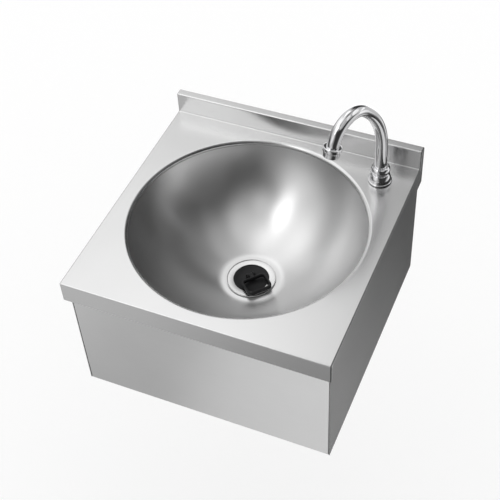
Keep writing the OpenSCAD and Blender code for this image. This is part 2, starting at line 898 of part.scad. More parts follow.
// Supply tube from the valve's outlet to the spout's shank, flared at both ends
module supply_tube() {
    bore_r = tube_r - tube_wall;
    side_end = spout_x - tube_bend_r;
    rear_start = outlet_y + tube_bend_r;
    rear_end = spout_y - tube_bend_r;
    rise_start = valve_z + tube_bend_r;
    rise_end = shank_end - gasket_t;
    color(nickel) {
        translate([flare_x, outlet_y, valve_z]) along_x(1) {
            ring(flare_r, bore_r, flare_t);
            ring(tube_r, bore_r, side_end - flare_x);
        }
        translate([side_end, rear_start, valve_z])
            rotate([0, 0, -90]) rotate_extrude(angle = 90) tube_outline();
        translate([spout_x, rear_start, valve_z]) along_y() ring(tube_r, bore_r, rear_end - rear_start);
        translate([spout_x, rear_end, rise_start])
            rotate([0, 90, 0]) rotate_extrude(angle = 90) tube_outline();
        translate([spout_x, spout_y, rise_start]) ring(tube_r, bore_r, rise_end - rise_start);
        translate([spout_x, spout_y, rise_end - flare_t]) ring(flare_r, bore_r, flare_t);
    }
}

module tube_outline() {
    translate([tube_bend_r, 0])
        difference() {
            circle(tube_r);
            circle(tube_r - tube_wall);
        }
}

// Spout base: bell above the deck, socket for the tube, threaded shank through the deck
module bell_outline() {
    foot = base_r - bell_inset;
    intersection() {
        translate([foot - bell_round_r, base_flange_t]) circle(bell_round_r);
        translate([0, base_flange_t]) square([foot, bell_h - base_flange_t]);
    }
}

module spout_base() {
    color(chrome)
        translate([spout_x, spout_y, deck_z + base_seal_t])
            difference() {
                union() {
                    cylinder(r = base_r, h = base_flange_t);
                    rotate_extrude() bell_outline();
                    translate([0, 0, bell_h - over]) cylinder(r = base_groove_r, h = base_groove_h + over);
                    translate([0, 0, bell_h + base_groove_h - over]) cylinder(r = spigot_r, h = spigot_h + over);
                    translate([0, 0, -base_seal_t - deck_t - shank_len])
                        cylinder(r = half_thread_r, h = base_seal_t + deck_t + shank_len + over);
                }
                translate([0, 0, socket_floor])
                    cylinder(r = spout_r + running, h = bell_h + base_groove_h + spigot_h + over);
                translate([0, 0, -base_seal_t - deck_t - shank_len - over])
                    cylinder(r = waterway_r, h = base_seal_t + deck_t + shank_len + socket_floor + 2 * over);
            }
}

module base_seal() {
    color(black)
        translate([spout_x, spout_y, deck_z]) ring(base_r - bell_inset, tap_hole_r, base_seal_t);
}

module shank_rubber() {
    color(black)
        translate([spout_x, spout_y, deck_under - shank_rubber_t])
            ring(shank_rubber_r, half_thread_r + seated, shank_rubber_t);
}

module shank_washer() {
    color(steel)
        translate([spout_x, spout_y, deck_under - shank_rubber_t - shank_washer_t])
            ring(shank_washer_r, half_thread_r + seated, shank_washer_t);
}

module shank_nut() {
    color(nickel)
        translate([spout_x, spout_y, deck_under - shank_rubber_t - shank_washer_t - shank_nut_t])
            difference() {
                hexagon(shank_nut_flats, shank_nut_t);
                translate([0, 0, -over]) cylinder(r = half_thread_r + seated, h = shank_nut_t + 2 * over);
            }
}

// Swivel nut: a barrel screwed on the base's spigot, holding the tube's ring down
module swivel_nut() {
    ring_room = spigot_h + running + tube_ring_t + touch_gap;
    color(chrome)
        translate([spout_x, spout_y, swivel_z])
            difference() {
                rotate_extrude()
                    intersection() {
                        union() {
                            translate([swivel_nut_r - swivel_round_r, swivel_h / 2]) circle(swivel_round_r);
                            square([swivel_nut_r - swivel_round_r, swivel_h]);
                        }
                        square([swivel_nut_r, swivel_h]);
                    }
                translate([0, 0, -over]) cylinder(r = spigot_r + seated, h = ring_room + over);
                cylinder(r = spout_r + running, h = swivel_h + over);
            }
}

// Turns what lies in the XZ plane, along +X, to the spout's heading
module at_spout() {
    translate([spout_x, spout_y, 0]) rotate([0, 0, spout_heading]) children();
}

// Where the second arc starts and ends, as [reach, height]
bend_start = [arc_one_r * (1 - cos(arc_one_sweep)), riser_top + arc_one_r * sin(arc_one_sweep)];
total_sweep = arc_one_sweep + arc_two_sweep;
spout_end = [
    bend_start[0] + arc_two_r * (cos(arc_one_sweep) - cos(total_sweep)) + tip_run * sin(total_sweep),
    bend_start[1] + arc_two_r * (sin(total_sweep) - sin(arc_one_sweep)) + tip_run * cos(total_sweep)
];

// Arc of tube that starts upright at -radius and bends over its own centre. A lap starts it earlier by that angle.
module spout_arc(radius, sweep, outer, inner, lap = 0) {
    rotate([90, 0, 0])
        mirror([1, 0, 0])
            rotate([0, 0, -lap])
                rotate_extrude(angle = sweep + lap)
                    translate([radius, 0])
                        difference() {
                            circle(outer);
                            circle(inner);
                        }
}

module spout_tube() {
    bore_r = spout_r - spout_wall;
    seal_z = tube_foot + spout_seal_up;
    color(chrome)
        at_spout() {
            difference() {
                union() {
                    translate([0, 0, tube_foot]) ring(spout_r, bore_r, riser_top - tube_foot);
                    translate([0, 0, ring_z]) ring(tube_ring_r, bore_r, tube_ring_t);
                }
                translate([0, 0, seal_z]) ring(spout_r + over, spout_r - spout_seal_d, spout_seal_w);
            }
            translate([arc_one_r, 0, riser_top]) {
                spout_arc(arc_one_r, arc_one_sweep, spout_r, bore_r);
                rotate([0, arc_one_sweep, 0])
                    translate([arc_two_r - arc_one_r, 0, 0]) {
                        spout_arc(arc_two_r, arc_two_sweep, spout_r - drawn_step, bore_r + drawn_step, arc_lap);
                        rotate([0, arc_two_sweep, 0])
                            translate([-arc_two_r, 0, -tip_lap])
                                ring(spout_r - 2 * drawn_step, bore_r + 2 * drawn_step, tip_run + tip_lap);
                    }
            }
        }
}

module spout_seal() {
    color(black)
        at_spout()
            translate([0, 0, tube_foot + spout_seal_up + seated])
                ring(spout_r + running / 2, spout_r - spout_seal_d + seated, spout_seal_w - 2 * seated);
}

// Places a child at the tube's end, its Z pointing out of the spout
module at_spout_end() {
    at_spout()
        translate([spout_end[0], 0, spout_end[1]])
            rotate([0, total_sweep, 0]) children();
}

module aerator_housing() {
    color(chrome)
        at_spout_end()
            difference() {
                union() {
                    translate([0, 0, -aerator_grip + aerator_edge])
                        cylinder(r = aerator_r, h = aerator_collar_len - 2 * aerator_edge);
                    translate([0, 0, -aerator_grip])
                        cylinder(r1 = aerator_r - aerator_edge, r2 = aerator_r, h = aerator_edge);
                    translate([0, 0, -aerator_grip + aerator_collar_len - aerator_edge])
                        cylinder(r1 = aerator_r, r2 = aerator_r - aerator_edge, h = aerator_edge);
                    cylinder(r = aerator_nose_r, h = aerator_collar_len - aerator_grip + aerator_nose_len);
                }
                translate([0, 0, -aerator_grip - over]) cylinder(r = spout_r + seated, h = aerator_grip + 2 * over);
                translate([0, 0, seated])
                    cylinder(r = aerator_nose_r - aerator_wall, h = aerator_collar_len + aerator_nose_len);
            }
}

// Perforated flow former inside the aerator
module aerator_insert() {
    insert_r = aerator_nose_r - aerator_wall - seated;
    low = aerator_collar_len - aerator_grip + aerator_nose_len - aerator_edge;
    color(black)
        at_spout_end()
            translate([0, 0, low - insert_t])
                difference() {
                    cylinder(r = insert_r, h = insert_t);
                    translate([0, 0, -over]) cylinder(r = insert_hole_r, h = insert_t + 2 * over);
                    for (i = [0 : insert_holes - 1])
                        rotate([0, 0, 360 * i / insert_holes])
                            translate([insert_r * insert_ring_share, 0, -over])
                                cylinder(r = insert_hole_r, h = insert_t + 2 * over);
                }
}

// Waste: flange, cup, tube with a strainer cross, and the trap's thread
module waste_body() {
    tube_in = waste_thread_r - waste_wall;
    top = waste_z;
    color(chrome)
        translate([0, bowl_y, 0]) {
            difference() {
                union() {
                    translate([0, 0, top - waste_flange_t]) cylinder(r = waste_flange_r, h = waste_flange_t);
                    translate([0, 0, top - cup_bottom]) cylinder(r = cup_r + cup_wall, h = cup_bottom);
                    translate([0, 0, waste_end_z]) cylinder(r = waste_thread_r, h = top - cup_bottom - waste_end_z + over);
                }
                translate([0, 0, top - cup_depth]) cylinder(r = cup_r, h = cup_depth + over);
                translate([0, 0, waste_end_z - over]) cylinder(r = tube_in, h = top - waste_end_z);
                translate([0, 0, relief_z]) ring(waste_thread_r + over, waste_thread_r - relief_d, relief_len);
            }
            for (turn = [0, 90])
                rotate([0, 0, turn])
                    translate([-tube_in - waste_wall / 2, -cross_w / 2, top - cross_drop - cross_h])
                        cube([2 * tube_in + waste_wall, cross_w, cross_h]);
        }
}

module waste_upper_seal() {
    color(black)
        translate([0, bowl_y, floor_z])
            ring(waste_flange_r - seal_lip, cup_r + cup_wall + seal_lip, upper_seal_t);
}

module waste_lower_seal() {
    color(black)
        translate([0, bowl_y, lower_seal_z]) ring(lower_seal_r, cup_r + cup_wall + seated, lower_seal_t);
}

module waste_slip_washer() {
    color(nylon)
        translate([0, bowl_y, slip_z]) ring(lower_seal_r, waste_thread_r + seated, slip_washer_t);
}

module waste_back_nut() {
    color(nylon)
        translate([0, bowl_y, back_nut_z])
            difference() {
                union() {
                    cylinder(r = back_nut_r, h = back_nut_t);
                    for (i = [0 : back_nut_lugs - 1])
                        rotate([0, 0, 360 * i / back_nut_lugs])
                            translate([0, -lug_w / 2, 0]) cube([back_nut_r + lug_d, lug_w, back_nut_t]);
                }
                translate([0, 0, -over]) cylinder(r = waste_thread_r + seated, h = back_nut_t + 2 * over);
            }
}

// Puts a child on the plug's axis, turned so that its +X is the way the handle lies
module at_plug() {
    translate([0, bowl_y, 0]) rotate([0, 0, handle_heading]) children();
}

// Rubber plug with two ears for the handle's pin
module plug() {
    body_r = waste_thread_r - waste_wall - plug_gap;
    color(black)
        at_plug()
            difference() {
                union() {
                    translate([0, 0, plug_ledge]) cylinder(r = cup_r - plug_gap, h = plug_disc_t);
                    translate([0, 0, plug_ledge - plug_body_len])
                        cylinder(r1 = body_r - plug_taper, r2 = body_r, h = plug_body_len);
                    for (side = [-1, 1])
                        translate([-pin_back, side * (ear_out - ear_t / 2), 0]) ear();
                }
                translate([-pin_back, -ear_out - over, handle_pin_z])
                    along_y() cylinder(r = handle_pin_r + seated, h = 2 * (ear_out + over));
            }
}

module ear() {
    translate([-ear_r, -ear_t / 2, plug_top - over]) cube([2 * ear_r, ear_t, handle_pin_z - plug_top + over]);
    translate([0, -ear_t / 2, handle_pin_z]) along_y() cylinder(r = ear_r, h = ear_t);
}

module plug_pin() {
    color(steel)
        at_plug()
            translate([-pin_back, -ear_out, handle_pin_z])
                along_y() cylinder(r = handle_pin_r, h = 2 * ear_out);
}

// Rounded rectangle with its near side at zero
module loop_outline(length, width, radius) {
    translate([radius, -width / 2]) square([length - 2 * radius, width]);
    translate([0, -width / 2 + radius]) square([length, width - 2 * radius]);
    for (x = [radius, length - radius], y = [-width / 2 + radius, width / 2 - radius])
        translate([x, y]) circle(radius);
}

// Handle: a loop on a tongue that turns on the pin
module plug_handle() {
    inner_r = handle_corner_r - handle_bar;
    color(black)
        at_plug()
            difference() {
                union() {
                    translate([-pin_back + tongue_len, 0, handle_low])
                        linear_extrude(handle_t)
                            difference() {
                                loop_outline(handle_len, handle_w, handle_corner_r);
                                translate([handle_bar, 0])
                                    loop_outline(handle_len - 2 * handle_bar, handle_w - 2 * handle_bar, inner_r);
                            }
                    translate([-pin_back, -tongue_w / 2, handle_pin_z - tongue_r])
                        cube([tongue_len + handle_bar / 2, tongue_w, 2 * tongue_r - touch_gap]);
                    translate([-pin_back, -tongue_w / 2, handle_pin_z])
                        along_y() cylinder(r = tongue_r, h = tongue_w);
                }
                translate([-pin_back, -tongue_w / 2 - over, handle_pin_z])
                    along_y() cylinder(r = handle_pin_r + running, h = tongue_w + 2 * over);
            }
}

deck();
bowl();
side_panel_left();
side_panel_right();
back_panel();
valve_rail();
rest_strips();
hinge_pins();
hinge_clips();
hinge_bushes();
knee_panel();
knee_pad();
valve_body();
valve_bonnet();
valve_lock_nut();
stem_seal();
valve_plunger();
valve_disc();
disc_nut();
return_spring();
inlet_manifold();
check_valves();
union_nuts();
union_gaskets();
supply_tube();
spout_base();
base_seal();
shank_rubber();
shank_washer();
shank_nut();
swivel_nut();
spout_tube();
spout_seal();
aerator_housing();
aerator_insert();
waste_body();
waste_upper_seal();
waste_lower_seal();
waste_slip_washer();
waste_back_nut();
plug();
plug_pin();
plug_handle();
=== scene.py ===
import json
from math import cos, pi, radians, sin, sqrt, tan

import bmesh
import bpy
from mathutils import Matrix, Vector


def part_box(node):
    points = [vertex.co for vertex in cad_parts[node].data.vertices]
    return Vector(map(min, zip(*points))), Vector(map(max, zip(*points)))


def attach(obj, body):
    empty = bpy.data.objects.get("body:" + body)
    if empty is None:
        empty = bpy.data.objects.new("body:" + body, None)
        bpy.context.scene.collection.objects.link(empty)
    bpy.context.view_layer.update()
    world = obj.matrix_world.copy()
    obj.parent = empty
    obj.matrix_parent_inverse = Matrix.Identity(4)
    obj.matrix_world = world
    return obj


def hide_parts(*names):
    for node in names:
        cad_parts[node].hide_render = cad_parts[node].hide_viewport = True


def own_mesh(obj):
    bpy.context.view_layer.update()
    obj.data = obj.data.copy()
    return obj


# Stainless steel hand wash sink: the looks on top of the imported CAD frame.
# Lengths in the dictionaries are millimetres and angles are degrees, unless a note says otherwise.
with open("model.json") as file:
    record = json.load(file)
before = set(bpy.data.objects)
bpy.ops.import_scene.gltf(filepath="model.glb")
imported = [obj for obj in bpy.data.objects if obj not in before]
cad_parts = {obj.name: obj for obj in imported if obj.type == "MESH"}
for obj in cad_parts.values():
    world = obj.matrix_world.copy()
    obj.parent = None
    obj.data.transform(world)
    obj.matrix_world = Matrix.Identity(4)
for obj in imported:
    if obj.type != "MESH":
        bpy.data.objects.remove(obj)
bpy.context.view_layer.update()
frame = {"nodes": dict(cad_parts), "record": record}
mm = 0.001
square = 0.9     # a face looks along an axis when its normal's part along it is larger than this


def inMetres(*values):
    return Vector(values) * mm


def selectOnly(piece):
    bpy.ops.object.select_all(action="DESELECT")
    piece.select_set(True)
    bpy.context.view_layer.objects.active = piece


def settle():
    # place, turn and scale go into the mesh, so that the object itself stays at the origin
    bpy.ops.object.transform_apply(location=True, rotation=True, scale=True)


def openForEditing(piece, kind="FACE"):
    selectOnly(piece)
    bpy.ops.object.mode_set(mode="EDIT")
    bpy.ops.mesh.select_mode(type=kind)
    bpy.ops.mesh.select_all(action="SELECT")


def closeEditing():
    bpy.ops.object.mode_set(mode="OBJECT")


def pick(piece, kind, test):
    # selects the faces, edges or points that pass the test, by place or normal
    bpy.ops.mesh.select_mode(type={"faces": "FACE", "edges": "EDGE", "verts": "VERT"}[kind])
    bpy.ops.mesh.select_all(action="DESELECT")
    shape = bmesh.from_edit_mesh(piece.data)
    for part in getattr(shape, kind):
        if test(part):
            part.select_set(True)
    shape.select_flush_mode()
    bmesh.update_edit_mesh(piece.data)


def edgeAt(test):
    return lambda edge: all(test(v.co / mm) for v in edge.verts)


def near(a, b, slack=0.02):
    return abs(a - b) < slack


def bevelEdges(radius, steps, **more):
    bpy.ops.mesh.bevel(offset=radius * mm, segments=steps, affect="EDGES", **more)


def extrudeBy(way):
    bpy.ops.mesh.extrude_region_move(TRANSFORM_OT_translate={"value": way * mm})


def cutAt(place, way):
    bpy.ops.mesh.bisect(plane_co=inMetres(*place), plane_no=way)


def closeSeams(gap=0.002):
    # merges doubled points, then turns the faces outwards
    bpy.ops.mesh.select_all(action="SELECT")
    bpy.ops.mesh.remove_doubles(threshold=gap * mm)
    bpy.ops.mesh.normals_make_consistent(inside=False)


def addBlock(name, low, high):
    bpy.ops.object.select_all(action="DESELECT")
    middle = [(a + b) / 2 * mm for a, b in zip(low, high)]
    bpy.ops.mesh.primitive_cube_add(size=1, location=middle)
    block = bpy.context.object
    block.name = name
    block.scale = [(b - a) * mm for a, b in zip(low, high)]
    settle()
    return block


def applyModifier(piece, kind, **settings):
    selectOnly(piece)
    modifier = piece.modifiers.new(kind.title(), kind)
    for key, value in settings.items():
        setattr(modifier, key, value)
    bpy.ops.object.modifier_apply(modifier=modifier.name)


def cutBore(piece, radius, place, depth, sides, rotation=(0, 0, 0)):
    bpy.ops.object.select_all(action="DESELECT")
    bpy.ops.mesh.primitive_cylinder_add(vertices=sides, radius=radius * mm, depth=depth * mm,
                                        location=inMetres(*place), rotation=rotation)
    cutter = bpy.context.object
    settle()
    applyModifier(piece, "BOOLEAN", operation="DIFFERENCE", object=cutter, solver="EXACT")
    bpy.data.objects.remove(cutter)


def joinPieces(first, *others):
    selectOnly(first)
    for piece in others:
        piece.select_set(True)
    bpy.ops.object.join()
    return first


def arcPoints(centreR, centreZ, radius, fromTurn, toTurn, steps):
    turns = [radians(fromTurn + (toTurn - fromTurn) * i / steps) for i in range(steps + 1)]
    return [(centreR + radius * cos(t), centreZ + radius * sin(t)) for t in turns]


def turnedPiece(name, outline, centre=(0, 0), sides=96, closed=True):
    # half section drawn point by point, then spun round the upright axis through centre
    points = list(outline) + ([outline[0]] if closed else [])
    start = inMetres(centre[0] + points[0][0], centre[1], points[0][1])
    bpy.ops.object.select_all(action="DESELECT")
    bpy.ops.mesh.primitive_plane_add(size=mm, location=start)
    piece = bpy.context.object
    piece.name = name
    settle()
    openForEditing(piece, "VERT")
    bpy.ops.mesh.merge(type="CENTER")
    for (ra, za), (rb, zb) in zip(points, points[1:]):
        step = inMetres(rb - ra, 0, zb - za)
        bpy.ops.mesh.extrude_vertices_move(TRANSFORM_OT_translate={"value": step})
    bpy.ops.mesh.select_all(action="SELECT")
    bpy.ops.mesh.spin(steps=sides, angle=2 * pi, center=inMetres(*centre, 0), axis=(0, 0, 1))
    closeSeams()
    closeEditing()
    return piece


def placePiece(piece, matrix):
    selectOnly(piece)
    piece.matrix_world = matrix
    settle()


def finishPiece(piece, body, slotName, *nodes, crease=32, flatten=False, finish=None):
    # finish is given only where the looks differ from the slot's own finish
    selectOnly(piece)
    bpy.ops.object.shade_smooth_by_angle(angle=radians(crease))
    if flatten:
        applyModifier(piece, "WEIGHTED_NORMAL", keep_sharp=True)
    piece.data.materials.clear()
    piece.data.materials.append(finishes[finish or slotName])
    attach(piece, body)
    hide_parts(*nodes)


def newMaterial(name):
    material = bpy.data.materials.new(name)
    material.use_nodes = True
    tree = material.node_tree
    return material, tree, tree.nodes["Principled BSDF"]


def addNode(tree, kind, inputs=None, **settings):
    node = tree.nodes.new(kind)
    for key, value in settings.items():
        setattr(node, key, value)
    for key, value in (inputs or {}).items():
        if isinstance(value, bpy.types.NodeSocket):
            tree.links.new(value, node.inputs[key])
        else:
            node.inputs[key].default_value = value
    return node


def mathNode(tree, operation, a, b=0.0):
    return addNode(tree, "ShaderNodeMath", {0: a, 1: b}, operation=operation).outputs[0]


def spreadNoise(tree, noise, low, high):
    # a noise keeps mostly between 0.3 and 0.7, and that part is spread from low to high
    return addNode(tree, "ShaderNodeMapRange", {"Value": noise, "From Min": 0.3, "From Max": 0.7,
                                                "To Min": low, "To Max": high}).outputs[0]


def noiseAt(tree, coords, stretch, scale, detail):
    mapped = addNode(tree, "ShaderNodeMapping", {"Vector": coords, "Scale": stretch}).outputs[0]
    noise = addNode(tree, "ShaderNodeTexNoise", {"Vector": mapped, "Scale": scale, "Detail": detail})
    return noise.outputs["Fac"]


def objectCoords(tree):
    return addNode(tree, "ShaderNodeTexCoord").outputs["Object"]


def greyColour(tree, value):
    return addNode(tree, "ShaderNodeCombineColor", {"Red": value, "Green": value, "Blue": value}).outputs[0]


def tintColour(tree, noise, colour, darker, lighter):
    low = [c * darker for c in colour] + [1]
    high = [min(1, c * lighter) for c in colour] + [1]
    share = spreadNoise(tree, noise, 0.0, 1.0)
    return addNode(tree, "ShaderNodeMix", {0: share, 6: low, 7: high}, data_type="RGBA").outputs[2]


def raiseSurface(tree, shader, height, strength, distance):
    raised = addNode(tree, "ShaderNodeBump", {"Height": height, "Strength": strength, "Distance": distance * mm})
    tree.links.new(raised.outputs[0], shader.inputs["Normal"])


def turnedCoords(tree, coords, centre, angleScale=0.03):
    # distance from an upright axis, angle round it and height, for finishes that follow a spun surface
    back = (-centre[0] * mm, -centre[1] * mm, 0)
    moved = addNode(tree, "ShaderNodeMapping", {"Vector": coords, "Location": back}).outputs[0]
    x, y, z = addNode(tree, "ShaderNodeSeparateXYZ", {"Vector": moved}).outputs
    squares = [mathNode(tree, "MULTIPLY", side, side) for side in (x, y)]
    away = mathNode(tree, "SQRT", mathNode(tree, "ADD", *squares))
    angle = mathNode(tree, "MULTIPLY", mathNode(tree, "ARCTAN2", y, x), angleScale)
    return addNode(tree, "ShaderNodeCombineXYZ", {"X": away, "Y": angle, "Z": z}).outputs[0]


def foldedCoords(tree, coords, sidewaysFrom=0.7):
    # the grain runs along X, and along Y on the faces that look left or right
    normal = addNode(tree, "ShaderNodeNewGeometry").outputs["True Normal"]
    facing = addNode(tree, "ShaderNodeSeparateXYZ", {"Vector": normal}).outputs[0]
    sideways = mathNode(tree, "GREATER_THAN", mathNode(tree, "ABSOLUTE", facing), sidewaysFrom)
    turned = addNode(tree, "ShaderNodeMapping", {"Vector": coords, "Rotation": (0, 0, pi / 2)}).outputs[0]
    return addNode(tree, "ShaderNodeMix", {0: sideways, 4: coords, 5: turned}, data_type="VECTOR").outputs[1]


# brushed steel: fine hairs on wider strands along the grain, and a slow drift over the whole sheet
brushing = {"hairShare": 0.55, "hairDetail": 2.0, "strandScale": 1 / 5, "strandDetail": 4.0,
            "driftScale": 14.0, "driftDetail": 2.0, "height": 0.1}


def steelFinish(name, tone, roughness, grain, grainScale, wander=0.010, streak=0.009, bump=0.002,
                spread=0.012, centre=None, across=None, anisotropy=0.0):
    # across is the way that the grain spreads a reflection, at right angles to the brushing
    s = brushing
    material, tree, shader = newMaterial(name)
    plain = objectCoords(tree)
    coords = turnedCoords(tree, plain, centre) if centre else foldedCoords(tree, plain)
    hairs = noiseAt(tree, coords, grain, grainScale, s["hairDetail"])
    strands = noiseAt(tree, coords, grain, grainScale * s["strandScale"], s["strandDetail"])
    drift = noiseAt(tree, coords, (1, 1, 1), s["driftScale"], s["driftDetail"])
    brushed = mathNode(tree, "ADD", mathNode(tree, "MULTIPLY", hairs, s["hairShare"]),
                       mathNode(tree, "MULTIPLY", strands, 1 - s["hairShare"]))
    shade = mathNode(tree, "ADD", spreadNoise(tree, brushed, tone - streak, tone + streak),
                     spreadNoise(tree, drift, -wander, wander))
    tree.links.new(greyColour(tree, shade), shader.inputs["Base Color"])
    rough = mathNode(tree, "ADD", spreadNoise(tree, brushed, roughness - spread, roughness + spread),
                     spreadNoise(tree, drift, -spread, spread))
    tree.links.new(rough, shader.inputs["Roughness"])
    raiseSurface(tree, shader, hairs, bump, s["height"])
    shader.inputs["Metallic"].default_value = 1.0
    if anisotropy:
        if centre:
            # spun surfaces spread a reflection outwards from the middle
            outwards = {"Vector": plain, "Location": (-centre[0] * mm, -centre[1] * mm, 0), "Scale": (1, 1, 0)}
            way = addNode(tree, "ShaderNodeMapping", outwards).outputs[0]
        else:
            way = addNode(tree, "ShaderNodeCombineXYZ", dict(zip("XYZ", across))).outputs[0]
        tree.links.new(way, shader.inputs["Tangent"])
        shader.inputs["Anisotropic"].default_value = anisotropy
    return material


def platedFinish(name, colour, roughness, speckle=0.01, filmScale=55.0):
    material, tree, shader = newMaterial(name)
    film = noiseAt(tree, objectCoords(tree), (1, 1, 1), filmScale, 4.0)
    tree.links.new(tintColour(tree, film, colour, 0.96, 1.03), shader.inputs["Base Color"])
    tree.links.new(spreadNoise(tree, film, roughness, roughness + 2 * speckle), shader.inputs["Roughness"])
    shader.inputs["Metallic"].default_value = 1.0
    return material


def mouldedFinish(name, colour, roughness, grainScale, bump=0.08, contrast=0.12, specular=0.5, patchScale=40.0,
                  wear=0.06, height=0.3):
    material, tree, shader = newMaterial(name)
    coords = objectCoords(tree)
    pores = noiseAt(tree, coords, (1, 1, 1), grainScale, 5.0)
    patches = noiseAt(tree, coords, (1, 1, 1), patchScale, 2.0)
    tree.links.new(tintColour(tree, patches, colour, 1 - contrast, 1 + contrast), shader.inputs["Base Color"])
    tree.links.new(spreadNoise(tree, pores, roughness - wear, roughness + wear), shader.inputs["Roughness"])
    raiseSurface(tree, shader, pores, bump, height)
    shader.inputs["Specular IOR Level"].default_value = specular
    return material


bowlCentre = (0.0, -202.5)
spoutAxis = (150.0, -53.0)
straightGrain, spunGrain = (0.02, 1, 1), (1, 0.25, 1)
sheetLook = {"grain": straightGrain, "grainScale": 3200.0, "bump": 0.0006, "spread": 0.004,
             "across": (0, 0.3, 1), "anisotropy": 0.6}
spunLook = {"grain": spunGrain, "grainScale": 2600.0, "centre": bowlCentre}
finishes = {
    "sheet_steel": steelFinish("sheetSteel", 0.66, 0.26, streak=0.008, **sheetLook),
    "panel_steel": steelFinish("panelSteel", 0.66, 0.29, **sheetLook),
    "bowl_steel": steelFinish("bowlSteel", 0.66, 0.28, bump=0.0002, streak=0.003, wander=0.004, spread=0.003,
                              anisotropy=0.6, **spunLook),
    "plain_steel": steelFinish("plainSteel", 0.50, 0.42, (1, 1, 0.05), 1500.0, wander=0.04, streak=0.03),
    "spring_steel": steelFinish("springSteel", 0.42, 0.30, (1, 1, 1), 1200.0),
    "chrome": platedFinish("chromePlate", (0.78, 0.78, 0.79), 0.06),
    "satin_flange": steelFinish("satinFlange", 0.63, 0.24, bump=0.0005, **spunLook),
    "plated_brass": platedFinish("platedBrass", (0.62, 0.60, 0.57), 0.20, 0.04),
    "black_rubber": mouldedFinish("blackRubber", (0.010, 0.010, 0.011), 0.50, 900.0, specular=0.35),
    "white_plastic": mouldedFinish("whitePlastic", (0.72, 0.72, 0.70), 0.38, 500.0, contrast=0.04),
    "grey_plastic": mouldedFinish("greyPlastic", (0.16, 0.16, 0.17), 0.45, 500.0),
    "red_fibre": mouldedFinish("redFibre", (0.30, 0.045, 0.035), 0.70, 700.0, contrast=0.25),
}
print("materials done")


deckSize = {
    "halfWide": 200, "deep": 400, "top": 125, "band": 34.5, "splashDeep": 12, "splashHigh": 35, "lipHigh": 12,
    "sheet": 1.2, "fold": 2, "sideFold": 1.95, "cove": 1.5, "foldSteps": 5, "seam": 0.01, "endSquare": 0.99,
    # a point and a normal for each cut across the ends
    "endCuts": (((0, -18, 0), (0, 1, 0)), ((0, -394, 0), (0, 1, 0)), ((0, 0, 119), (0, 0, 1)), ((0, 0, 131), (0, 0, 1))),
    "flatR": 179, "lipStartR": 178, "lipR": 5, "lipSteps": 8, "collarR": 173, "collarLow": 118.5, "tapR": 10.98,
    "sides": 192, "boreDeep": 100, "boreSlack": 0.05, "uprightUnder": 0.1,
}


def makeDeck(s):
    low, top, peak = s["top"] - s["band"], s["top"], s["top"] + s["splashHigh"]
    openings = ((s["flatR"], bowlCentre), (s["tapR"], spoutAxis))
    deck = addBlock("deckSkin", (-s["halfWide"], -s["deep"], low), (s["halfWide"], 0, top))
    openForEditing(deck)
    cutAt((0, -s["splashDeep"], 0), (0, 1, 0))
    pick(deck, "faces", lambda f: f.normal.z > square and f.calc_center_median().y > -s["splashDeep"] * mm)
    extrudeBy(Vector((0, 0, s["splashHigh"])))
    for isSide in (lambda f: abs(f.normal.x) > square, lambda f: f.normal.y > square, lambda f: f.normal.z < -square):
        pick(deck, "faces", isSide)
        bpy.ops.mesh.dissolve_faces()
    # folds along the width: front, top of the splashback, then the cove at its foot
    folds = ((-s["deep"], top, s["fold"]), (-s["splashDeep"], peak, s["fold"]), (-s["splashDeep"], top, s["cove"]))
    for y, z, radius in folds:
        pick(deck, "edges", edgeAt(lambda p: near(p.y, y) and near(p.z, z)))
        bevelEdges(radius, s["foldSteps"])

    def onEnd(edge):
        a, b = (v.co / mm for v in edge.verts)
        if not (near(abs(a.x), s["halfWide"]) and near(a.x, b.x)):
            return False
        return not (near(a.y, 0) and near(b.y, 0)) and not (near(a.z, low) and near(b.z, low))
    # folds round both ends
    pick(deck, "edges", onEnd)
    bevelEdges(s["sideFold"], s["foldSteps"], clamp_overlap=False)
    bpy.ops.mesh.select_all(action="SELECT")
    bpy.ops.mesh.remove_doubles(threshold=s["seam"] * mm)
    # the ends are cut into plain shapes, so that the small curves stay in small faces
    for place, way in s["endCuts"]:
        pick(deck, "faces", lambda f: abs(f.normal.x) > s["endSquare"])
        cutAt(place, way)
    closeEditing()
    for radius, centre in openings:
        cutBore(deck, radius, (*centre, top), s["boreDeep"], s["sides"])
    openForEditing(deck)
    pick(deck, "faces", lambda f: f.normal.y > square and near(f.calc_center_median().y / mm, 0))
    cutAt((0, 0, peak - s["lipHigh"]), (0, 0, 1))

    def isOpen(face):
        c = face.calc_center_median() / mm
        if near(c.z, low) or (near(c.y, 0) and face.normal.y > square and c.z < peak - s["lipHigh"]):
            return True
        if abs(face.normal.z) > s["uprightUnder"]:
            return False
        return any(all((v.co.xy / mm - Vector(centre)).length < radius + s["boreSlack"] for v in face.verts)
                   for radius, centre in openings)
    # the sheet is open below, in the holes and at the back under the rear lip
    pick(deck, "faces", isOpen)
    bpy.ops.mesh.delete(type="FACE")
    closeEditing()
    rounding = arcPoints(s["lipStartR"], top - s["lipR"], s["lipR"], 90, 180, s["lipSteps"])
    section = [(s["flatR"], top)] + rounding + [(s["collarR"], s["collarLow"])]
    lip = turnedPiece("lip", section, bowlCentre, s["sides"], closed=False)
    joinPieces(deck, lip)
    openForEditing(deck)
    closeSeams(s["seam"])
    bpy.ops.mesh.select_all(action="DESELECT")
    closeEditing()
    topFace = max(deck.data.polygons, key=lambda f: f.area if near(f.center.z / mm, top) else 0)
    if topFace.normal.z < 0:
        openForEditing(deck)
        bpy.ops.mesh.flip_normals()
        closeEditing()
    applyModifier(deck, "SOLIDIFY", thickness=s["sheet"] * mm, offset=-1, use_even_offset=True,
                  use_quality_normals=True)
    return deck


deck = makeDeck(deckSize)
finishPiece(deck, "housing", "sheet_steel", "deck", flatten=True)
print("deck done", len(deck.data.polygons))


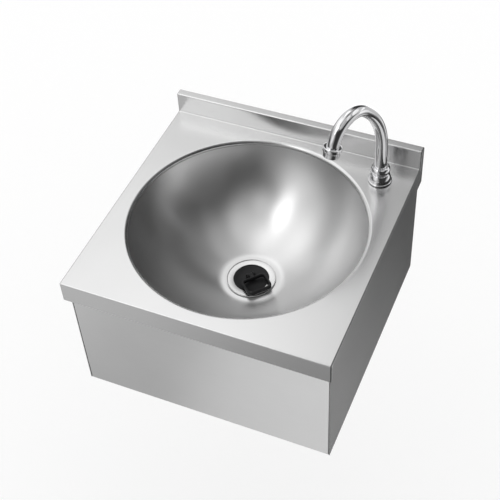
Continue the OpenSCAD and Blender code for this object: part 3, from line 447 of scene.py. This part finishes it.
bowlSize = {
    "ballR": 183.46, "ballZ": 179.573, "topZ": 118.5, "floorZ": 2.5, "holeR": 29, "wall": 1,
    "blendInR": 43, "blendOutR": 54, "blendSteps": 6, "steps": 44, "sides": 192,
}


def makeBowl(s):
    def ballPoint(radius, grow):
        return radius, s["ballZ"] - sqrt((s["ballR"] + grow) ** 2 - radius ** 2)

    def section(grow):
        edgeR = sqrt((s["ballR"] + grow) ** 2 - (s["ballZ"] - s["topZ"]) ** 2)
        points = [(edgeR, s["topZ"])]
        for i in range(1, s["steps"] + 1):
            points.append(ballPoint(edgeR + (s["blendOutR"] - edgeR) * i / s["steps"], grow))
        # gentle curve from the ball down to the flat floor
        a, c = Vector(points[-1]), Vector((s["blendInR"], s["floorZ"] - grow))
        slope = Vector((a.y - s["ballZ"], -a.x)).normalized()
        b = a + slope * ((c.y - a.y) / slope.y)
        for i in range(1, s["blendSteps"] + 1):
            t = i / s["blendSteps"]
            points.append(tuple(a * (1 - t) ** 2 + b * 2 * t * (1 - t) + c * t * t))
        return points + [(s["holeR"], s["floorZ"] - grow)]
    return turnedPiece("bowlShell", section(0) + section(s["wall"])[::-1], bowlCentre, s["sides"])


bowl = makeBowl(bowlSize)
finishPiece(bowl, "housing", "bowl_steel", "bowl")
print("bowl done", len(bowl.data.polygons))


panelSize = {
    "halfWide": 193.8, "front": -389, "return": 20, "topReturn": 5.5, "low": -105, "high": 121.5,
    "sheet": 1.2, "fold": 1.8, "foldSteps": 5, "bushR": 4.6, "bushSides": 48, "hingeY": -377, "hingeZ": 108,
}


def makePanel(s):
    corners = (-s["halfWide"], s["front"], s["low"]), (s["halfWide"], s["front"] + s["return"], s["high"])
    panel = addBlock("kneePanel", *corners)
    openForEditing(panel)
    pick(panel, "edges", edgeAt(lambda p: near(p.y, s["front"])))
    bevelEdges(s["fold"], s["foldSteps"])
    # a folded tray, open at the back and at the top behind the short return
    returnEnd = s["front"] + s["topReturn"]
    pick(panel, "faces", lambda f: f.normal.z > square)
    cutAt((0, returnEnd, 0), (0, 1, 0))
    pick(panel, "faces", lambda f: f.normal.y > square or
         (f.normal.z > square and f.calc_center_median().y > returnEnd * mm))
    bpy.ops.mesh.delete(type="FACE")
    closeEditing()
    applyModifier(panel, "SOLIDIFY", thickness=s["sheet"] * mm, offset=-1, use_even_offset=True,
                  use_quality_normals=True)
    # one bore across both returns, wider than the panel
    cutBore(panel, s["bushR"], (0, s["hingeY"], s["hingeZ"]), 2.2 * s["halfWide"], s["bushSides"],
            rotation=(0, pi / 2, 0))
    return panel


panel = makePanel(panelSize)
finishPiece(panel, "knee", "panel_steel", "knee_panel", flatten=True)
print("knee panel done", len(panel.data.polygons))


# rounded thread: where root and crest begin and end, as shares of the pitch
threadShape = {"rootEnd": 0.1, "crestStart": 0.42, "crestEnd": 0.58, "rootStart": 0.9, "crestDrop": 0.05}


def threadPoints(s, fromZ, toZ):
    # rings of rounded thread, crest and root in turn
    t = threadShape
    count = int(abs(toZ - fromZ) / s["pitch"])
    step = (toZ - fromZ) / count
    crest = s["threadR"] - t["crestDrop"]
    points = []
    for i in range(count):
        z = fromZ + step * i
        points += [(s["rootR"], z + t["rootEnd"] * step), (crest, z + t["crestStart"] * step),
                   (crest, z + t["crestEnd"] * step), (s["rootR"], z + t["rootStart"] * step)]
    return points


baseSize = {
    "bottom": 71.8, "threadR": 10.4775, "rootR": 9.7, "pitch": 1.814, "threadStart": 0.6, "threadTop": 110,
    "threadRun": 0.5, "waterR": 6, "socketZ": 130, "socketR": 9.05, "foot": 126, "flangeR": 17.6,
    "flangeTop": 128.5, "edge": 0.5, "footSteps": 3, "edgeSteps": 4, "bellR": 18, "bellCentreR": -1.4,
    "bellTop": 140, "bellSteps": 12, "grooveR": 11.9, "grooveTop": 141.5, "spigotR": 10.9, "spigotTop": 145.5,
    "sides": 96,
}


def makeSpoutBase(s):
    e = s["edge"]
    bellRise = s["bellTop"] - s["flangeTop"]
    bell = [(s["bellCentreR"] + sqrt(s["bellR"] ** 2 - (z - s["flangeTop"]) ** 2), z)
            for z in [s["flangeTop"] + bellRise * i / s["bellSteps"] for i in range(s["bellSteps"] + 1)]]
    outline = [(s["waterR"], s["bottom"]), (s["rootR"], s["bottom"])]
    outline += threadPoints(s, s["bottom"] + s["threadStart"], s["threadTop"])
    outline += [(s["threadR"], s["threadTop"] + s["threadRun"]), (s["threadR"], s["foot"]),
                (s["flangeR"] - e, s["foot"])]
    outline += arcPoints(s["flangeR"] - e, s["foot"] + e, e, -90, 0, s["footSteps"])
    outline += arcPoints(s["flangeR"] - 2 * e, s["flangeTop"] - 2 * e, 2 * e, 0, 90, s["edgeSteps"])
    outline += bell[1:]
    outline += [(s["grooveR"], s["bellTop"]), (s["grooveR"], s["grooveTop"]), (s["spigotR"], s["grooveTop"]),
                (s["spigotR"], s["spigotTop"]), (s["socketR"], s["spigotTop"]), (s["socketR"], s["socketZ"]),
                (s["waterR"], s["socketZ"])]
    return turnedPiece("spoutBase", outline, spoutAxis, s["sides"])


spoutBase = makeSpoutBase(baseSize)
finishPiece(spoutBase, "housing", "chrome", "spout_base")


nutSize = {
    "low": 141.5, "high": 154, "roundR": 8, "roundCentreR": 6.4, "roundSteps": 14, "edge": 0.7, "spigotR": 11,
    "ringTop": 147.9, "boreR": 9.06, "chamfer": 0.5, "sides": 96,
}


def makeSwivelNut(s):
    low, high, e, c = s["low"], s["high"], s["edge"], s["chamfer"]
    middle = (low + high) / 2
    heights = [low + e + (high - low - 2 * e) * i / s["roundSteps"] for i in range(s["roundSteps"] + 1)]
    side = [(s["roundCentreR"] + sqrt(s["roundR"] ** 2 - (z - middle) ** 2), z) for z in heights]
    bite = side[0][0] - e
    outline = [(s["spigotR"], low), (bite, low)] + side
    outline += [(bite, high), (s["boreR"] + c, high), (s["boreR"], high - c), (s["boreR"], s["ringTop"]),
                (s["spigotR"], s["ringTop"])]
    return turnedPiece("swivelNut", outline, spoutAxis, s["sides"])


swivelNut = makeSwivelNut(nutSize)
finishPiece(swivelNut, "housing", "chrome", "swivel_nut")


tubeSize = {
    "radius": 9, "wall": 1.5, "foot": 130.3, "riserTop": 188, "heading": 250, "sides": 64,
    "arcs": ((135, 48, 30), (40, 118, 60)),     # radius, sweep and steps of each bend
    "tip": 5,
}


def makeSpoutTube(s):
    heading = Vector((cos(radians(s["heading"])), sin(radians(s["heading"])), 0))
    up = Vector((0, 0, 1))
    side = up.cross(heading)
    end = Vector((*spoutAxis, s["foot"]))
    bpy.ops.object.select_all(action="DESELECT")
    bpy.ops.mesh.primitive_circle_add(vertices=s["sides"], radius=s["radius"] * mm, location=end * mm)
    tube = bpy.context.object
    tube.name = "spoutTube"
    settle()
    openForEditing(tube, "EDGE")
    rise = up * (s["riserTop"] - s["foot"])
    extrudeBy(rise)
    end = end + rise
    along = up
    for radius, sweep, steps in s["arcs"]:
        centre = end + side.cross(along) * radius
        bpy.ops.mesh.spin(steps=steps, angle=-radians(sweep), center=centre * mm, axis=side)
        turn = Matrix.Rotation(radians(sweep), 3, side)
        end = centre + turn @ (end - centre)
        along = turn @ along
    extrudeBy(along * s["tip"])
    end = end + along * s["tip"]
    closeSeams()
    closeEditing()
    applyModifier(tube, "SOLIDIFY", thickness=s["wall"] * mm, offset=-1, use_even_offset=True)
    return tube, end, along


spoutTube, spoutEnd, spoutDown = makeSpoutTube(tubeSize)
finishPiece(spoutTube, "spout", "chrome", "spout_tube")
print("spout tube ends at", tuple(round(v, 2) for v in spoutEnd))


aeratorSize = {
    "grip": 5, "collarR": 13.2, "collarLen": 7, "edge": 1.4, "edgeSteps": 6, "neckIn": 0.5, "neckEnd": 0.4,
    "neckOut": 0.8, "noseR": 11.6, "noseLowR": 11.2, "noseEnd": 10, "noseEdge": 0.6, "noseSteps": 4,
    "noseFlat": 0.1, "boreR": 9.06, "wall": 1.5, "seat": 0.05, "sides": 72,
}


def makeAerator(s):
    # drawn along its own axis from the tube's end, which is height 0
    low, mid, e, n = -s["grip"], s["collarLen"] - s["grip"], s["edge"], s["noseEdge"]
    neckR = s["noseR"] - s["neckIn"]
    outline = [(s["boreR"], low), (s["collarR"] - e, low)]
    outline += arcPoints(s["collarR"] - e, low + e, e, -90, 0, s["edgeSteps"])
    outline += arcPoints(s["collarR"] - e, mid - e, e, 0, 90, s["edgeSteps"])
    outline += [(neckR, mid), (neckR, mid + s["neckEnd"]), (s["noseR"], mid + s["neckOut"]),
                (s["noseLowR"], s["noseEnd"] - n - s["noseFlat"])]
    outline += arcPoints(s["noseLowR"] - n, s["noseEnd"] - n, n, 0, 90, s["noseSteps"])
    inner = s["noseR"] - s["wall"]
    outline += [(inner, s["noseEnd"]), (inner, s["seat"]), (s["boreR"], s["seat"])]
    return turnedPiece("aeratorHousing", outline, sides=s["sides"])


aerator = makeAerator(aeratorSize)
tilt = Vector((0, 0, 1)).rotation_difference(spoutDown).to_matrix().to_4x4()
placePiece(aerator, Matrix.Translation(spoutEnd * mm) @ tilt)
finishPiece(aerator, "spout", "chrome", "aerator_housing")
print("spout done")


wasteSize = {
    "top": 5, "flangeR": 37.5, "flangeT": 1.5, "underCut": 0.2, "rimEdge": 0.5, "rimIn": 36.0, "dishDrop": 0.85,
    # steps down from the raised rim to the dish: distance out from rimIn and depth under the top
    "rimSteps": ((0.7, 0.05), (0.25, 0.3)), "dishStart": 0.6, "edge": 0.6, "edgeSteps": 4,
    "cupR": 27, "cupFloor": 0, "cupCorner": 0.8, "boreR": 21.7, "boreEdge": 0.5, "cupOuterR": 28.6, "cupLow": -2,
    "threadR": 23.9, "rootR": 22.8, "pitch": 2.309, "threadStart": 0.5, "threadTop": -4, "threadRun": 0.3,
    "end": -45.5, "barHalf": 2, "barTop": -15, "barLow": -19, "barReach": 22.8, "barEdge": 0.5, "sides": 128,
}


def makeWaste(s):
    top, e, k, r = s["top"], s["edge"], s["cupCorner"], s["rimEdge"]
    dish, under = top - s["dishDrop"], top - s["flangeT"]
    outline = [(s["boreR"], s["end"]), (s["rootR"], s["end"])]
    outline += threadPoints(s, s["end"] + s["threadStart"], s["threadTop"])
    outline += [(s["threadR"], s["threadTop"] + s["threadRun"]), (s["threadR"], s["cupLow"]),
                (s["cupOuterR"], s["cupLow"]), (s["cupOuterR"], under)]
    outline += [(s["flangeR"] - s["underCut"], under), (s["flangeR"], under + s["underCut"])]
    outline += arcPoints(s["flangeR"] - r, top - r, r, 0, 90, s["edgeSteps"])
    outline += [(s["rimIn"] + out, top - down) for out, down in s["rimSteps"]]
    outline += [(s["rimIn"], dish), (s["rimIn"] - s["dishStart"], dish)]
    outline += arcPoints(s["cupR"] + e, dish - e, e, 90, 180, s["edgeSteps"])
    outline += [(s["cupR"], s["cupFloor"] + k)]
    outline += arcPoints(s["cupR"] - k, s["cupFloor"] + k, k, 0, -90, s["edgeSteps"])[1:]
    outline += [(s["boreR"] + s["boreEdge"], s["cupFloor"]), (s["boreR"], s["cupFloor"] - s["boreEdge"])]
    waste = turnedPiece("wasteBody", outline, bowlCentre, s["sides"])
    x, y = bowlCentre
    bars = []
    for reachX, reachY in ((s["barReach"], s["barHalf"]), (s["barHalf"], s["barReach"])):
        bar = addBlock("crossBar", (x - reachX, y - reachY, s["barLow"]), (x + reachX, y + reachY, s["barTop"]))
        openForEditing(bar, "EDGE")
        bevelEdges(s["barEdge"], 2)
        closeEditing()
        bars.append(bar)
    return joinPieces(waste, *bars)


waste = makeWaste(wasteSize)
finishPiece(waste, "housing", "chrome", "waste_body", finish="satin_flange")


# plug and handle are drawn round the origin, and plugFrame takes both to the waste
plugSize = {
    "discR": 26.6, "discLow": 0.3, "discTop": 3.0, "discChamfer": 0.4, "rimIn": 24.4, "rimSlope": 0.6,
    "dishDrop": 0.35, "dishFlatR": 12, "edge": 0.7, "bodyR": 21.3, "bodyLowR": 20.3, "bodyLow": -8.7,
    "bodySteps": 4, "discSteps": 5, "pinZ": 8.9, "pinBack": -1.5, "earR": 4.2, "earIn": 3.3, "earOut": 6.3,
    "earSink": 1, "earSteps": 8, "earFlat": 0.02, "earInset": 0.4, "heading": -42, "sides": 96,
}
plugFrame = Matrix.Translation(inMetres(*bowlCentre, 0)) @ Matrix.Rotation(radians(plugSize["heading"]), 4, "Z")


def makePlug(s):
    e, c = s["edge"], s["discChamfer"]
    dish = s["discTop"] - s["dishDrop"]
    outline = [(0, s["bodyLow"]), (s["bodyLowR"] - e, s["bodyLow"])]
    outline += arcPoints(s["bodyLowR"] - e, s["bodyLow"] + e, e, -90, 0, s["bodySteps"])
    outline += [(s["bodyR"], s["discLow"]), (s["discR"] - c, s["discLow"]), (s["discR"], s["discLow"] + c)]
    outline += arcPoints(s["discR"] - e, s["discTop"] - e, e, 0, 90, s["discSteps"])
    outline += [(s["rimIn"], s["discTop"]), (s["rimIn"] - s["rimSlope"], dish), (s["dishFlatR"], dish),
                (0, s["discTop"] - s["dishDrop"] / 2)]
    plug = turnedPiece("plugBody", outline, sides=s["sides"], closed=False)
    ears = []
    earTop = s["pinZ"] + s["earR"]
    for side in (-1, 1):
        ys = sorted((side * s["earIn"], side * s["earOut"]))
        ear = addBlock("plugEar", (s["pinBack"] - s["earR"], ys[0], s["discTop"] - s["earSink"]),
                       (s["pinBack"] + s["earR"], ys[1], earTop))
        openForEditing(ear)
        pick(ear, "edges", lambda edge: all(near(v.co.z / mm, earTop) for v in edge.verts) and
             near(edge.verts[0].co.x, edge.verts[1].co.x, 0.001 * mm))
        bevelEdges(s["earR"] - s["earFlat"], s["earSteps"])
        pick(ear, "faces", lambda f: abs(f.normal.y) > square)
        bpy.ops.mesh.inset(thickness=s["earInset"] * mm, use_boundary=True)
        bpy.ops.mesh.select_all(action="SELECT")
        bpy.ops.mesh.normals_make_consistent(inside=False)
        closeEditing()
        ears.append(ear)
    joinPieces(plug, *ears)
    placePiece(plug, plugFrame)
    return plug


plug = makePlug(plugSize)
finishPiece(plug, "plug", "black_rubber", "plug")


handleSize = {
    "start": 3.8, "end": 34.5, "half": 20, "low": 5.4, "high": 12.4, "corner": 7, "cornerSteps": 8, "bar": 3.4,
    "edge": 1.4, "edgeSteps": 5, "sharpFrom": 1.2, "tongueHalf": 3, "tongueR": 3.6, "tongueEdge": 3.4,
    "tongueSteps": 6, "tongueReach": 0.7, "tongueTop": 12.2, "pinZ": 8.9, "pinBack": -1.5,
}


def makeHandle(s):
    # flat loop, then the tongue that takes the pin
    handle = addBlock("plugHandle", (s["start"], -s["half"], s["low"]), (s["end"], s["half"], s["high"]))
    openForEditing(handle)
    pick(handle, "edges", lambda e: abs((e.verts[0].co - e.verts[1].co).z) > 1 * mm)
    bevelEdges(s["corner"], s["cornerSteps"])
    pick(handle, "faces", lambda f: abs(f.normal.z) > square)
    bpy.ops.mesh.inset(thickness=s["bar"] * mm, use_even_offset=True)
    bpy.ops.mesh.bridge_edge_loops()
    closeSeams()
    pick(handle, "edges", lambda e: e.is_manifold and e.calc_face_angle(0) > s["sharpFrom"])
    bevelEdges(s["edge"], s["edgeSteps"], clamp_overlap=False)
    closeEditing()
    back = s["pinBack"] - s["tongueR"]
    tongue = addBlock("tongue", (back, -s["tongueHalf"], s["pinZ"] - s["tongueR"]),
                      (s["start"] + s["bar"] * s["tongueReach"], s["tongueHalf"], s["tongueTop"]))
    openForEditing(tongue)
    pick(tongue, "edges", lambda e: all(near(v.co.x / mm, back) for v in e.verts) and
         abs((e.verts[0].co - e.verts[1].co).y) > 1 * mm)
    bevelEdges(s["tongueEdge"], s["tongueSteps"])
    closeEditing()
    joinPieces(handle, tongue)
    placePiece(handle, plugFrame)
    return handle


handle = makeHandle(handleSize)
finishPiece(handle, "handle", "black_rubber", "plug_handle")
print("waste and plug done")


springSize = {"wireR": 0.68, "coilR": 6.8, "curls": 7, "stepsPerCurl": 28, "sides": 12, "travel": 8.4}


def makeSpring(s):
    # wire section wound round Y, which is the stem's way
    low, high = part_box("return_spring")
    length = (high[1] - low[1]) / mm
    steps = s["curls"] * s["stepsPerCurl"]
    middle = Vector(((low[0] + high[0]) / 2, low[1] + s["wireR"] * mm, (low[2] + high[2]) / 2))
    bpy.ops.object.select_all(action="DESELECT")
    bpy.ops.mesh.primitive_circle_add(vertices=s["sides"], radius=s["wireR"] * mm,
                                      location=inMetres(s["coilR"], 0, 0))
    coil = bpy.context.object
    coil.name = "springCoil"
    settle()
    applyModifier(coil, "SCREW", axis="Y", angle=2 * pi * s["curls"], screw_offset=(length - 2 * s["wireR"]) * mm,
                  steps=steps, render_steps=steps, use_smooth_shade=True)
    openForEditing(coil, "EDGE")
    bpy.ops.mesh.select_all(action="DESELECT")
    bpy.ops.mesh.select_non_manifold()
    bpy.ops.mesh.edge_face_add()
    bpy.ops.mesh.select_all(action="SELECT")
    bpy.ops.mesh.normals_make_consistent(inside=False)
    closeEditing()
    placePiece(coil, Matrix.Translation(middle))
    return coil, (middle.x, high[1], middle.z), 1 - s["travel"] / length


spring, springSeat, springKeep = makeSpring(springSize)
finishPiece(spring, "housing", "spring_steel", "return_spring")
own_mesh(spring)
print("spring done", len(spring.data.polygons))


# the CAD nodes that keep their shape get their slot's finish
slotNames = {part["node"]: part["material_slot"] for part in frame["record"]["subparts"]}
for nodeName, node in frame["nodes"].items():
    if not node.hide_render:
        node.data.materials.clear()
        node.data.materials.append(finishes[slotNames[nodeName]])
print("finishes on", len(slotNames), "nodes")


# each soft panel or box: the way it is seen, half the angle of its lobe, and its brightness against white
whiteShare = 0.040
softPanels = [
    ((-0.17, 0.95, -0.27), 36, 1.000), ((0.95, 0.10, -0.30), 36, 0.450), ((-0.22, 0.20, 0.95), 36, 0.121),
    ((0.03, -0.39, 0.92), 36, 0.152), ((0.28, 0.36, 0.89), 36, 0.138), ((-0.50, -0.09, 0.86), 36, 1.001),
    ((-0.66, 0.27, 0.70), 36, 0.051), ((-0.69, -0.40, 0.61), 36, 0.288), ((0.67, 0.56, 0.48), 36, 0.044),
    ((-0.89, 0.04, 0.45), 36, 0.400), ((-0.60, -0.72, 0.36), 36, 0.549), ((-0.78, 0.55, 0.30), 36, 0.779),
    ((-0.34, -0.94, 0.11), 36, 0.381), ((0.66, 0.73, -0.17), 36, 0.149), ((-0.17, 0.95, -0.27), 36, 0.762),
    ((-0.51, -0.81, -0.30), 36, 0.089), ((-0.18, -0.82, -0.55), 36, 0.413), ((-0.79, 0.10, -0.61), 36, 0.590),
    ((-0.32, 0.45, 0.84), 17, 0.998), ((-0.38, 0.57, 0.73), 17, 0.394), ((-0.43, 0.68, 0.60), 17, 0.275),
    ((-0.16, 0.52, 0.84), 17, 0.195), ((-0.00, 0.58, 0.81), 17, 0.286), ((-0.27, -0.46, -0.84), 18, 0.022),
    ((-0.50, -0.49, -0.71), 18, 0.502), ((0.03, -0.64, 0.77), 11, 0.466), ((-0.31, -0.53, 0.79), 11, 2.106),
    ((-0.37, -0.69, 0.62), 11, 1.336), ((-0.42, -0.48, 0.77), 11, 0.253), ((0.31, 0.55, -0.78), 12, 0.089),
    ((0.48, 0.56, -0.68), 12, 0.706), ((0.43, 0.47, -0.77), 12, 0.524),
]


def studioWorld(panels, share):
    # plain white round the camera and for matt surfaces; metal sees a share of that white and the soft panels
    world = bpy.data.worlds.new("studio")
    bpy.context.scene.world = world
    world.use_nodes = True
    world.cycles.sampling_method = "NONE"     # otherwise the light path's kinds of ray aren't told apart
    tree = world.node_tree
    tree.nodes.clear()
    direction = addNode(tree, "ShaderNodeTexCoord").outputs["Generated"]
    total = 0.0
    for way, halfAngle, strength in panels:
        facing = addNode(tree, "ShaderNodeVectorMath", {0: direction, 1: Vector(way).normalized()},
                         operation="DOT_PRODUCT").outputs["Value"]
        lobe = {"Value": facing, "From Min": cos(radians(halfAngle)), "From Max": 1.0, "To Min": 0.0,
                "To Max": strength}
        soft = addNode(tree, "ShaderNodeMapRange", lobe, interpolation_type="SMOOTHSTEP").outputs[0]
        total = mathNode(tree, "ADD", soft, total)
    boxes = addNode(tree, "ShaderNodeBackground", {"Color": greyColour(tree, total), "Strength": 1.0 / (1.0 - share)})
    white = addNode(tree, "ShaderNodeBackground", {"Color": (1, 1, 1, 1), "Strength": 1.0})
    rays = addNode(tree, "ShaderNodeLightPath").outputs
    plain = mathNode(tree, "ADD", mathNode(tree, "MAXIMUM", rays["Is Camera Ray"], rays["Is Transmission Ray"]),
                     rays["Is Diffuse Ray"])
    seen = mathNode(tree, "MAXIMUM", plain, mathNode(tree, "MULTIPLY", rays["Is Glossy Ray"], share))
    mixed = addNode(tree, "ShaderNodeMixShader", {0: seen, 1: boxes.outputs[0], 2: white.outputs[0]})
    addNode(tree, "ShaderNodeOutputWorld", {"Surface": mixed.outputs[0]})


studioWorld(softPanels, whiteShare)


floorSize = {"level": -750, "half": 4000, "colour": (1, 1, 1, 1), "roughness": 1.0}


def makeFloor(s):
    bpy.ops.object.select_all(action="DESELECT")
    bpy.ops.mesh.primitive_plane_add(size=2 * s["half"] * mm, location=inMetres(0, 0, s["level"]))
    floor = bpy.context.object
    floor.name = "floor"
    settle()
    material, tree, shader = newMaterial("floorPaint")
    shader.inputs["Base Color"].default_value = s["colour"]
    shader.inputs["Roughness"].default_value = s["roughness"]
    shader.inputs["Specular IOR Level"].default_value = 0.0
    # seen from above only, so that the underside can be looked at
    side = addNode(tree, "ShaderNodeNewGeometry").outputs["Backfacing"]
    clear = addNode(tree, "ShaderNodeBsdfTransparent").outputs[0]
    mixed = addNode(tree, "ShaderNodeMixShader", {0: side, 1: shader.outputs[0], 2: clear}).outputs[0]
    tree.links.new(mixed, tree.nodes["Material Output"].inputs["Surface"])
    floor.data.materials.append(material)
    floor.visible_glossy = False
    floor.visible_shadow = False


makeFloor(floorSize)


def addSoftBoxes(name, centre, boxes, receivers, away=3000):
    # soft boxes that light only the named pieces; each disk is narrower than its lobe by the root of two
    group = bpy.data.collections.new(name)
    for piece in receivers:
        group.objects.link(piece)
    for number, (way, halfAngle, level) in enumerate(boxes):
        lamp = bpy.data.lights.new(name + str(number), "AREA")
        lamp.shape = "DISK"
        lamp.size = 2 * away * mm * tan(radians(halfAngle / sqrt(2)))
        lamp.energy = level * pi * pi * (lamp.size / 2) ** 2
        box = bpy.data.objects.new(lamp.name, lamp)
        bpy.context.scene.collection.objects.link(box)
        way = Vector(way).normalized()
        box.location = (Vector(centre) + way * away) * mm
        box.rotation_euler = way.to_track_quat("Z", "Y").to_euler()
        box.visible_camera = False
        box.light_linking.receiver_collection = group


panelBoxes = [
    ((0.32, -0.86, -0.39), 36, 1.166), ((-0.81, -0.38, -0.45), 36, 0.259), ((0.08, -0.60, -0.80), 36, 0.052),
    ((-0.10, -0.55, -0.83), 18, 0.669),
]
bowlBoxes = [
    ((0.18, 0.00, 0.98), 36, 0.304), ((0.03, -0.39, 0.92), 36, 0.359), ((0.28, 0.36, 0.89), 36, 0.058),
    ((0.89, -0.41, 0.17), 36, 0.105),
]
fittingBoxes = [
    ((0.47, -0.30, 0.83), 36, 0.433), ((0.64, 0.23, 0.73), 36, 0.414), ((0.67, 0.56, 0.48), 36, 0.568),
    ((0.66, 0.73, -0.17), 36, 0.421), ((-0.17, 0.95, -0.27), 36, 0.050), ((0.91, 0.25, -0.33), 36, 0.247),
    ((0.40, -0.22, -0.89), 36, 0.694),
]
addSoftBoxes("panelBox", (0, -389, 0), panelBoxes, [panel, frame["nodes"]["side_panel_left"]])
addSoftBoxes("bowlBox", (0, -202.5, 60), bowlBoxes, [bowl])
addSoftBoxes("fittingBox", (140, -90, 190), fittingBoxes, [spoutTube, aerator, spoutBase, swivelNut])
print("studio done")


# solved from the deck's corners, the fold lines and the bowl's rim; place in metres
cameraView = {
    "lens": 79.019, "sensor": 36, "near": 0.01, "place": (0.477277, -1.188004, 1.263754),
    "turn": ((0.920555, -0.257474, 0.293743), (0.387766, 0.692989, -0.607786), (-0.047071, 0.673405, 0.737774)),
}


def makeCamera(s):
    camera = bpy.data.objects.new("camera", bpy.data.cameras.new("camera"))
    bpy.context.scene.collection.objects.link(camera)
    camera.data.lens = s["lens"]
    camera.data.sensor_width = s["sensor"]
    camera.data.clip_start = s["near"]
    camera.matrix_world = Matrix.Translation(s["place"]) @ Matrix(s["turn"]).to_4x4()
    bpy.context.scene.camera = camera


makeCamera(cameraView)
bpy.context.scene.view_settings.view_transform = "Standard"
